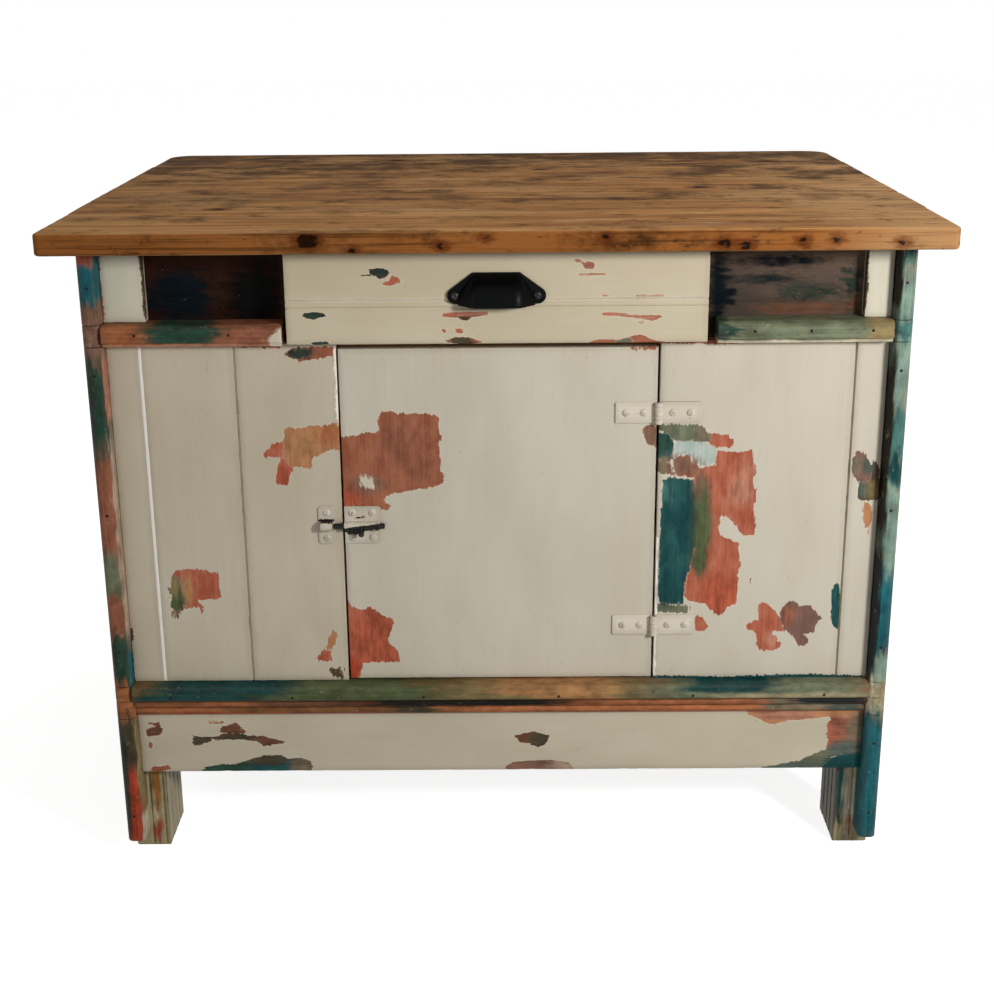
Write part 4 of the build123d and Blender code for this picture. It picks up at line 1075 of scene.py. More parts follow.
@dataclass(frozen=True)
class Ironwork:
    """Cast iron under black lacquer, steel under paint, or plain steel that has dulled.

    The eye sees the soft unevenness of a casting, a highlight on lacquer, and wear where hands rub.
    """

    name: str
    tone: Tone
    worn: str
    metallic: float
    rub: float = 0.5
    gloss: float = 0.5

    def build(self) -> bpy.types.Material:
        """Build the finish.

        Returns:
            The material.
        """
        sheet = Sheet.named(self.name)
        cloud = Figure(22, 16, 4, 0.6).draw(sheet)
        cast = Figure(3.2, 3.2, 3).draw(sheet)
        pit = Figure(1.2, 1.2, 2).draw(sheet)
        colour = self.tone.draw(sheet, cloud, (0.35, 0.65))
        colour = sheet.over(colour, cast, (0.62, 0.72), self.rub, self.worn)
        smooth = self.tone.rough
        rough = sheet.add("ShaderNodeMapRange", {0: cloud, 1: 0.3, 2: 0.7, 3: smooth, 4: smooth + 0.12})
        fine = sheet.add("ShaderNodeMath", {0: pit, 1: 0.02}, operation="MULTIPLY")
        height = sheet.add("ShaderNodeMath", {0: cast, 1: 0.06, 2: fine}, operation="MULTIPLY_ADD")
        return sheet.close(colour, rough, self.gloss, height, self.metallic)


@dataclass(frozen=True)
class Age:
    """How age has worn a piece: edge radius, mesh spacing, dents along edges and hollows in faces, in mm."""

    edge: float = 1.0
    cell: float = 8.0
    chip: float = 0.9
    wave: float = 0.3


PLANK = Age()
PAINTED = Age(edge=1.1, cell=4.0, chip=0.5, wave=0.25)
HIDDEN = Age(cell=30.0, chip=0.3, wave=0.15)
MILLED = Age(edge=0.6, cell=3.5, chip=0.4, wave=0.2)
FINE = Age(edge=0.6, cell=3.0, chip=0.3, wave=0.15)
IRON = Age(edge=0.35, cell=200.0, chip=0.0, wave=0.0)
FINE_IRON = Age(edge=0.35, cell=2.0, chip=0.0, wave=0.0)
HOLLOW_MM = 130.0  # the size of the hollows in a face
DENT_MM = 17.0  # the size of the dents along an edge
NICK_MM = 6.0  # the size of the nicks in a dent
CHIP_REACH_MM = 3.5  # how far in from an edge the dents reach
DENT_SPAN = (0.1, 0.8)  # the noise where a dent starts and where it is full


@dataclass
class Length:
    """One length of timber or one iron piece: its points in metres, its faces, and its own box."""

    points: np.ndarray
    faces: list[tuple[int, ...]]
    low: np.ndarray
    high: np.ndarray

    @classmethod
    def board(cls, low: np.ndarray, high: np.ndarray, age: Age) -> "Length":
        """Make a square board with worn edges, in a grid fine enough to dent.

        Args:
            low: The board's lowest corner in metres.
            high: The board's highest corner in metres.
            age: How it is worn.

        Returns:
            The board.
        """
        radius = min(age.edge * MM, ARRIS * float((high - low).min()))
        lines = []
        for start, end in zip(low, high):
            count = max(1, round((end - start - 2 * radius) / (age.cell * MM)))
            inner = np.linspace(start + radius, end - radius, count + 1)
            bend = ARRIS * radius
            lines.append(np.concatenate(([start, start + bend], inner, [end - bend, end])))
        points: list[np.ndarray] = []
        faces: list[tuple[int, ...]] = []
        for axis in range(3):
            first, second = (axis + 1) % 3, (axis + 2) % 3
            for place, flip in ((low[axis], True), (high[axis], False)):
                wide, tall = np.meshgrid(lines[first], lines[second], indexing="ij")
                grid = np.zeros((wide.size, 3))
                grid[:, axis], grid[:, first], grid[:, second] = place, wide.ravel(), tall.ravel()
                base = sum(len(block) for block in points)
                rows, columns = wide.shape
                for row in range(rows - 1):
                    for column in range(columns - 1):
                        corner = base + row * columns + column
                        loop = (corner, corner + columns, corner + columns + 1, corner + 1)
                        faces.append(loop[::-1] if flip else loop)
                points.append(grid)
        stacked = np.concatenate(points)
        core = np.clip(stacked, low + radius, high - radius)
        offset = stacked - core
        offset *= radius / np.maximum(np.linalg.norm(offset, axis=1, keepdims=True), TINY)
        keys = np.round(stacked / SAME_M).astype(np.int64)
        _, kept, renamed = np.unique(keys, axis=0, return_index=True, return_inverse=True)
        renamed = renamed.reshape(-1)
        loops = [tuple(int(renamed[index]) for index in loop) for loop in faces]
        return cls((core + offset)[kept], loops, low, high)

    @classmethod
    def shaped(cls, solid: bmesh.types.BMesh, age: Age) -> "Length":
        """Dress a shaped solid: flat faces joined, sharp edges worn round, and cut up along each axis.

        Args:
            solid: The merged solid, which is used up.
            age: How it is worn.

        Returns:
            The dressed length.
        """
        corners = np.array([vertex.co for vertex in solid.verts])
        low, high = corners.min(0), corners.max(0)
        bmesh.ops.dissolve_limit(solid, angle_limit=FLAT_ANGLE, verts=solid.verts, edges=solid.edges)
        bmesh.ops.bevel(
            solid,
            geom=[edge for edge in solid.edges if edge.calc_face_angle(0.0) > SHARP_ANGLE],
            offset=age.edge * MM,
            segments=2,
            profile=0.5,
            affect="EDGES",
            clamp_overlap=True,
        )
        for axis in range(3):
            count = round((high[axis] - low[axis]) / (age.cell * MM))
            normal = Vector((axis == 0, axis == 1, axis == 2))
            for step in range(1, count):
                place = normal * (low[axis] + (high[axis] - low[axis]) * step / count)
                whole = solid.verts[:] + solid.edges[:] + solid.faces[:]
                bmesh.ops.bisect_plane(solid, geom=whole, dist=SAME_M, plane_co=place, plane_no=normal)
        bmesh.ops.triangulate(solid, faces=[face for face in solid.faces if len(face.verts) > 4])
        solid.verts.index_update()
        points = np.array([vertex.co for vertex in solid.verts])
        faces = [tuple(vertex.index for vertex in face.verts) for face in solid.faces]
        solid.free()
        return cls(points, faces, low, high)


def split_solids(node: str) -> list[bmesh.types.BMesh]:
    """Copy a CAD node and part the copy into its separate solids.

    Args:
        node: The node's name.

    Returns:
        One merged mesh for each solid.
    """
    whole = bmesh.new()
    whole.from_mesh(frame["nodes"][node].data)
    bmesh.ops.remove_doubles(whole, verts=whole.verts, dist=WELD_M)
    whole.verts.ensure_lookup_table()
    left = set(range(len(whole.verts)))
    whole.verts.index_update()
    solids = []
    while left:
        reached = {min(left)}
        edge_of = set(reached)
        while edge_of:
            edge_of = {
                edge.other_vert(whole.verts[index]).index
                for index in edge_of
                for edge in whole.verts[index].link_edges
            } - reached
            reached |= edge_of
        left -= reached
        solid = bmesh.new()
        copies = {index: solid.verts.new(whole.verts[index].co) for index in sorted(reached)}
        for face in whole.faces:
            if face.verts[0].index in reached:
                solid.faces.new([copies[vertex.index] for vertex in face.verts])
        solid.normal_update()
        solids.append(solid)
    whole.free()
    return solids


def layer_depths(points: np.ndarray, board: Board) -> dict[Layer, np.ndarray]:
    """Measure how far each point lies inside the patches of each coat.

    Args:
        points: Points in metres.
        board: The board whose patches are meant.

    Returns:
        One array of millimetres for each coat.
    """
    flat = points[:, [0, 2]] / MM
    in_front = points[:, 1] < float(points[:, 1].min()) + PATCH_REACH_MM * MM
    depths: dict[Layer, np.ndarray] = {}
    for patch in PATCHES[board]:
        inside = np.where(in_front, patch.depth_inside(flat), NO_PATCH_MM)
        depths[patch.layer] = np.maximum(depths.get(patch.layer, NO_PATCH_MM), inside)
    return depths


def blend(points: np.ndarray, smudges: Sequence[Smudge], run: float) -> tuple[np.ndarray, np.ndarray]:
    """Lay smudges over one another in order, their outlines drawn out into streaks along the piece.

    Args:
        points: Rows of x and z in millimetres.
        smudges: The smudges, the topmost last.
        run: How far the streaks run along the piece, in millimetres.

    Returns:
        The linear colour and the share at each point.
    """
    size = np.ptp(points, axis=0)
    longest = size == size.max()
    wander = [
        noise.noise_vector((x, 0.0, z)) + 0.5 * noise.noise_vector((3 * x, 9.0, 2 * z))
        for x, z in points / np.where(longest, *STREAK_MM)
    ]
    points = points + np.array(wander)[:, [0, 2]] * np.where(longest, run, STREAK_DRIFT_MM)
    reach = np.stack([smudge.away(points) for smudge in smudges])
    tones = np.array([linear(smudge.paint.value)[:3] for smudge in smudges])
    colour = tones[reach.argmin(axis=0)]
    share = np.zeros(len(points))
    for smudge, away, tone in zip(smudges, reach, tones):
        soft = 2 / smudge.power
        cover = smudge.share * np.clip((1 + soft / 2 - away) / soft, 0, 1)
        colour = colour + (tone - colour) * cover[:, None]
        share = share + (1 - share) * cover
    return colour, share


def write_attribute(mesh: bpy.types.Mesh, name: str, values: np.ndarray) -> None:
    """Write one value or vector for each point of a mesh.

    Args:
        mesh: The mesh.
        name: The attribute's name.
        values: One row for each point.
    """
    vector = values.ndim == 2
    attribute = mesh.attributes.new(name, "FLOAT_VECTOR" if vector else "FLOAT", "POINT")
    attribute.data.foreach_set("vector" if vector else "value", values.astype(np.float32).ravel())


def wear_down(points: np.ndarray, normals: np.ndarray, inset: np.ndarray, age: Age) -> np.ndarray:
    """Press dents and hollows into a piece, always inwards.

    Args:
        points: Points in metres.
        normals: The surface's direction at each point.
        inset: Distance from the piece's nearest edge, in metres.
        age: How it is worn.

    Returns:
        The worn points.
    """
    spots = [Vector(point) / MM for point in points]
    hollow = np.array([0.5 + 0.5 * noise.noise(spot / HOLLOW_MM) for spot in spots])
    dent = np.array([noise.noise(spot / DENT_MM) + 0.5 * noise.noise(spot / NICK_MM) for spot in spots])
    at_edge = np.maximum(0.0, 1 - inset / (CHIP_REACH_MM * MM))
    depth = age.wave * hollow + age.chip * at_edge * np.interp(dent, DENT_SPAN, (0.0, 1.0))
    return points - normals * (depth * MM)[:, None]


def put(
    name: str,
    lengths: Sequence[Length],
    age: Age,
    finish: bpy.types.Material,
    board: Board | None = None,
    knots: Sequence[Knot] = (),
) -> bpy.types.Object:
    """Join lengths into one piece, wear it down and give it its finish.

    Args:
        name: The piece's name.
        lengths: The lengths that make it up.
        age: How it is worn.
        finish: Its material.
        board: The board whose worn patches it carries.
        knots: Rows of x, y, z and radius in millimetres, for timber with knots.

    Returns:
        The piece, in the scene.
    """
    seed = np.random.default_rng(sum(ord(letter) * (place + 1) for place, letter in enumerate(name)))
    counts = [len(length.points) for length in lengths]
    starts = np.concatenate(([0], np.cumsum(counts)))
    points = np.concatenate([length.points for length in lengths])
    faces = [
        tuple(index + int(start) for index in face)
        for start, length in zip(starts, lengths)
        for face in length.faces
    ]
    mesh = bpy.data.meshes.new(name)
    mesh.from_pydata(points.tolist(), [], faces)
    mesh.update()
    middle = np.repeat([(one.low + one.high) / 2 for one in lengths], counts, axis=0)
    half = np.repeat([(one.high - one.low) / 2 for one in lengths], counts, axis=0)
    if age.chip or age.wave:
        inset = np.sort(half - np.abs(points - middle), axis=1)[:, 1]
        normals = np.zeros(len(points) * 3)
        mesh.vertices.foreach_get("normal", normals)
        worn = wear_down(points, normals.reshape(-1, 3), inset, age)
        mesh.vertices.foreach_set("co", worn.ravel())
    grain, tone = [], []
    for length in lengths:
        order = np.argsort(-(length.high - length.low), kind="stable")
        grain.append((length.points[:, order] / MM) + seed.uniform(0, GRAIN_SHIFT_MM, 3))
        tone.append(np.full(len(length.points), seed.uniform()))
    knot = np.full(len(points), NO_PATCH_MM)
    for *place, radius in knots:
        reach = (points / MM - np.array(place)) / KNOT_STRETCH
        knot = np.maximum(knot, radius - np.linalg.norm(reach, axis=1))
    write_attribute(mesh, "box_mid", middle)
    write_attribute(mesh, "box_half", half)
    write_attribute(mesh, "grain", np.concatenate(grain))
    write_attribute(mesh, "tone", np.concatenate(tone))
    write_attribute(mesh, "knot", knot)
    if board in PATCHES:
        for layer, depth in layer_depths(points, board).items():
            write_attribute(mesh, layer.value, depth)
    for kind, table, run in SMUDGES:
        if board in table:
            colour, share = blend(points[:, [0, 2]] / MM, table[board], run)
            write_attribute(mesh, kind, colour)
            write_attribute(mesh, f"{kind}_share", share)
    return show(name, mesh, finish)


def show(name: str, mesh: bpy.types.Mesh, finish: bpy.types.Material) -> bpy.types.Object:
    """Smooth a mesh up to its sharp edges, and put it in the scene.

    Args:
        name: The piece's name.
        mesh: Its mesh.
        finish: Its material.

    Returns:
        The piece.
    """
    mesh.polygons.foreach_set("use_smooth", np.ones(len(mesh.polygons), bool))
    mesh.set_sharp_from_angle(angle=SMOOTH_ANGLE)
    if not mesh.materials:
        mesh.materials.append(finish)
    piece = bpy.data.objects.new(name, mesh)
    bpy.context.scene.collection.objects.link(piece)
    return piece


def dress(
    node: str,
    slot: str,
    finish: bpy.types.Material,
    age: Age = PLANK,
    board: Board | None = None,
    shaped: bool = False,
    knots: Sequence[Knot] = (),
) -> None:
    """Make the worn piece that stands for a CAD node, and hand it to the frame.

    Args:
        node: The node's name.
        slot: The record's material slot.
        finish: The piece's material.
        age: How it is worn.
        board: The board whose worn patches it carries.
        shaped: Whether the solid's own form is kept even where it is almost square.
        knots: Knots for timber that shows them.
    """
    lengths = []
    for solid in split_solids(node):
        corners = np.array([vertex.co for vertex in solid.verts])
        low, high = corners.min(0), corners.max(0)
        if not shaped and solid.calc_volume() > SQUARE_SHARE * float(np.prod(high - low)):
            solid.free()
            lengths.append(Length.board(low, high, age))
        else:
            lengths.append(Length.shaped(solid, age))
    piece = put(f"{node}_worn", lengths, age, finish, board, knots)
    hand_over(piece, frame["nodes"][node]["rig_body"], slot, node)


def hand_over(piece: bpy.types.Object, body: str, slot: str, *nodes: str) -> None:
    """Attach a finished piece to the body that carries it, and hide the CAD nodes that it stands for.

    Args:
        piece: The finished piece.
        body: The body that carries it.
        slot: The record's material slot; not used.
        *nodes: The CAD nodes that it stands for.
    """
    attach(piece, body)
    if nodes:
        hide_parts(*nodes)
    LOG.info("%s on %s: %d faces", piece.name, body, len(piece.data.polygons))


CREAM_PAINT = Tone("#CFC7B6", "#C6BDA9", 0.4)
DIRTY_CREAM = Tone("#C3BAA3", "#ADA288", 0.45)
OLD_TIMBER = Tone("#7A5F45", "#4C3A2B", 0.72)
SAWN_PINE = Tone("#B98F62", "#94693F", 0.7)


@dataclass
class Worktop:
    """The pine boards of the worktop, with knots given as x, y, z and radius in millimetres."""

    boards: int = 5
    knots: tuple[Knot, ...] = (
        (-203, -390, 780, 7.5),
        (-155, -390, 769, 1.6),
        (-60, -390, 774, 2.4),
        (-10, -390, 782, 1.4),
        (118, -390, 782, 2.0),
        (245.9, -390, 774, 3.6),
        (267.5, -390, 772, 3.8),
        (330, -390, 777, 1.6),
        (366, -390, 778, 1.8),
        (437, -390, 774, 1.6),
        (-330, -210, 790, 7),
        (260, -40, 790, 8),
        (60, 170, 790, 6),
        (-150, 300, 790, 8),
        (390, 250, 790, 6),
    )

    def build(self) -> None:
        """Build and dress each board, the front one in a finer grid."""
        pine = OiledPine("oiled_pine_worktop", Tone("#AC7B48", "#7E532C", 0.5)).build()
        for number in range(1, self.boards + 1):
            age = Age(edge=1.2, cell=4.0 if number == 1 else 9.0, chip=0.8, wave=0.35)
            at_edge = number in (1, self.boards)
            dress(f"top_board_{number}", "pine_top", pine, age, shaped=at_edge, knots=self.knots)


@dataclass
class PaintedFront:
    """The painted boards of the front, and the paint that fills three joints, one a painted highlight, in
    millimetres.
    """

    planks_left: tuple[str, ...] = ("stile_left", "plank_left_outer", "plank_left_inner")
    planks_right: tuple[str, ...] = ("plank_right", "stile_right")
    stiles: tuple[str, ...] = ("short_stile_left", "short_stile_right")
    joint_span: Pair = (236.5, 654.5)
    joint_back: float = -325.0
    joints: tuple[tuple[str, float, float, float, str], ...] = (
        # Near-white filling: a painted highlight along the joint.
        ("joint_left_outer", -407.25, 4.4, -330.5, "#FFFCF2"),
        ("joint_left_inner", -299.75, 2.6, -329.4, "#A8977A"),
        ("joint_right", 408.25, 2.6, -329.4, "#7A7052"),
    )

    def build(self) -> None:
        """Build and dress each board of the front, and fill the joints."""
        groups = (
            # The left planks' cream is a little darker than the right's, partly as painted shade of the light
            # falling off to the left.
            (self.planks_left, Board.PLANKS_LEFT, Tone("#CBC1AC", "#C0B49C", 0.36), 2.8),
            (self.planks_right, Board.PLANKS_RIGHT, CREAM_PAINT, 2.6),
            (self.stiles, Board.STILE_SHORT, Tone("#DAD5C2", "#CEC8B2", 0.4), 1.6),
            (("apron_front",), Board.APRON, Tone("#CBC1AA", "#C0B59C", 0.4), 1.8),
        )
        for nodes, board, tone, ragged in groups:
            paint = WornPaint(f"worn_cream_{board.value}", tone, OLD_TIMBER, board, ragged, wear=0.35).build()
            for node in nodes:
                dress(node, "cream_paint", paint, PAINTED, board)
        bottom, top = self.joint_span
        for name, middle, width, front, colour in self.joints:
            tone = Tone(colour, colour, 0.3)
            paint = WornPaint(f"paint_in_{name}", tone, OLD_TIMBER, ragged=1.0, wear=0.1, specks=0.2).build()
            low = np.array((middle - width / 2, front, bottom)) * MM
            high = np.array((middle + width / 2, self.joint_back, top)) * MM
            filling = put(name, [Length.board(low, high, PAINTED)], PAINTED, paint)
            hand_over(filling, "cabinet", "cream_paint")


@dataclass
class Mouldings:
    """Rails, ridged moulding and rounded corner beads across the front."""

    def build(self) -> None:
        """Build and dress each moulding."""
        brown, bare = Tone("#9A6640", "#7A4E30", 0.45), Tone("#4A3A28", "#241A12", 0.7)
        groups = (
            (("upper_rail_left", "upper_rail_right"), Board.RAIL_UPPER),
            (("lower_rail",), Board.RAIL_LOWER),
            (("lower_moulding",), Board.MOULDING),
            (("corner_bead_left",), Board.BEAD_LEFT),
            (("corner_bead_right",), Board.BEAD_RIGHT),
        )
        for nodes, board in groups:
            name = f"worn_{board.value}"
            paint = WornPaint(name, brown, bare, board, 2.4, 0.7, 0.85, 0.4, gloss=0.08).build()
            for node in nodes:
                dress(node, "worn_moulding", paint, MILLED, board, shaped=True)


@dataclass
class Carcass:
    """Legs, sides, back, dark panels, the timber inside, and the dirt in the side joints, in millimetres."""

    inside: tuple[str, ...] = (
        "drawer_guide_left",
        "drawer_guide_right",
        "drawer_rail",
        "drawer_runner_left",
        "drawer_runner_right",
        "drawer_stops",
        "floor_rail_front",
        "floor_rail_rear",
        "rear_rail",
        "top_batten_left",
        "top_batten_right",
        "floor_boards",
    )
    joint_places: tuple[float, ...] = (-135.65, -38.55, 58.55, 155.65)
    joint_half: float = 1.2
    joint_depth: Pair = (447.0, 455.0)
    joint_span: Pair = (193.5, 696.5)

    def build(self) -> None:
        """Build and dress each piece of the carcass."""
        green = Tone("#B5A87F", "#93886A", 0.5)
        legs = WornPaint("worn_front_legs", green, OLD_TIMBER, Board.LEG_FRONT, 2.4, specks=0.7).build()
        shown = (Layer.TAN, Layer.TEAL, Layer.CORAL)
        sides = WornPaint("worn_cream_sides", DIRTY_CREAM, OLD_TIMBER, scatter=shown).build()
        raw = SawnTimber("sawn_pine_inside", SAWN_PINE, "#7A5A38", "#D8C6A6").build()
        for side in ("left", "right"):
            dress(f"leg_front_{side}", "cream_paint", legs, MILLED, Board.LEG_FRONT)
            for node in ("leg_rear", "side_boards", "side_rail_upper", "side_rail_lower"):
                dress(f"{node}_{side}", "cream_paint", sides)
        dress("back_boards", "cream_paint", sides)
        chipped = Tone("#A89E8A", "#6E6454", 0.6)
        # The left panel's tone is darker than its stain alone: partly painted shade under the worktop and in
        # the recess.
        tones = {"left": Tone("#34190F", "#1A0D09", 0.5), "right": Tone("#6A574A", "#433A34", 0.5)}
        for side, tone in tones.items():
            name = f"stained_panel_{side}"
            panel = WornPaint(name, tone, chipped, Board.PANELS, 3.0, 0.0, 0.4, gloss=0.03).build()
            dress(f"recess_panel_{side}", "dark_panel", panel, PAINTED, Board.PANELS)
        for node in self.inside:
            dress(node, "raw_pine", raw, HIDDEN)
        self.fill_joints()

    def fill_joints(self) -> None:
        """Fill the joints between the boards of each side."""
        tone = Tone("#4A3F30", "#2E261C", 0.8)
        dirt = SawnTimber("dirt_in_side_joints", tone, "#241C12", "#5E513E").build()
        bottom, top = self.joint_span
        for side, sign in (("left", -1), ("right", 1)):
            near, far = sorted(sign * depth for depth in self.joint_depth)
            strips = []
            for middle in self.joint_places:
                low = np.array((near, middle - self.joint_half, bottom)) * MM
                high = np.array((far, middle + self.joint_half, top)) * MM
                strips.append(Length.board(low, high, PAINTED))
            hand_over(put(f"joints_{side}", strips, PAINTED, dirt), "cabinet", "raw_pine")


@dataclass
class Drawer:
    """The drawer's painted front, its plain box and the cast cup pull."""

    box: tuple[str, ...] = ("drawer_side_left", "drawer_side_right", "drawer_back", "drawer_bottom")

    def build(self) -> None:
        """Build and dress the drawer."""
        cream = Tone("#CEC2A8", "#C5B89C", 0.4)
        paint = WornPaint("worn_cream_drawer", cream, OLD_TIMBER, Board.DRAWER, 0.9, wear=0.3).build()
        dress("drawer_front", "cream_paint", paint, FINE, Board.DRAWER, shaped=True)
        raw = SawnTimber("sawn_pine_drawer", Tone("#C29A6C", "#9C7246", 0.65), "#8A6840", "#D8C6A6").build()
        for node in self.box:
            dress(node, "raw_pine", raw, HIDDEN)
        black = Tone("#060707", "#040505", 0.32)
        lacquer = Ironwork("black_lacquer_cup", black, "#0E0F0F", 0.0, 0.3, 0.06).build()
        dress("cup_pull", "black_iron", lacquer, IRON, shaped=True)


@dataclass
class Door:
    """The door's board with its ledges, and the ironwork that hangs and fastens it."""

    def build(self) -> None:
        """Build and dress the door, its hinges and its bolt."""
        paint = WornPaint("worn_cream_door", CREAM_PAINT, OLD_TIMBER, Board.DOOR, 2.8, wear=0.35).build()
        dress("door_panel", "cream_paint", paint, PAINTED, Board.DOOR)
        raw = SawnTimber("sawn_pine_ledges", SAWN_PINE, "#7A5A38", "#D8C6A6").build()
        for level in ("upper", "lower"):
            dress(f"door_ledge_{level}", "raw_pine", raw, HIDDEN)
        steel = Tone("#4A4844", "#2A2927", 0.4)
        white = Tone("#DED5C5", "#CCC2AE", 0.35)
        coated = WornPaint("painted_steel_hinges", white, steel, ragged=1.2, wear=0.9, specks=0.5).build()
        for node in ("hinge_frame_leaves", "hinge_door_leaves"):
            dress(node, "painted_steel", coated, IRON, shaped=True)
        grey = Tone("#D9D1C0", "#C4BBA8", 0.35)
        rusty = WornPaint("painted_steel_bolt", grey, steel, Board.BOLT, 1.2, wear=0.5, specks=0.6).build()
        for node in ("bolt_plate", "bolt_keeper"):
            dress(node, "painted_steel", rusty, FINE_IRON, Board.BOLT, shaped=True)
        iron = Ironwork("black_iron_bolt", Tone("#1A1A1B", "#0A0A0B", 0.3), "#5A5854", 0.6, 0.6).build()
        dress("bolt_rod", "black_iron", iron, IRON, shaped=True)
        pins = Ironwork("dull_steel_pins", Tone("#8F8C85", "#66635D", 0.35), "#4A443C", 1.0, 0.6).build()
        dress("hinge_pins", "steel", pins, IRON, shaped=True)


@dataclass(frozen=True)
class Heads:
    """A set of fastener heads on one body: its places, what they face, and its sizes in millimetres."""

    name: str
    body: str
    kind: HeadKind
    radius: float
    rise: float
    seed: int
    places: tuple[Place, ...]
    facing: Place = (0.0, -1.0, 0.0)


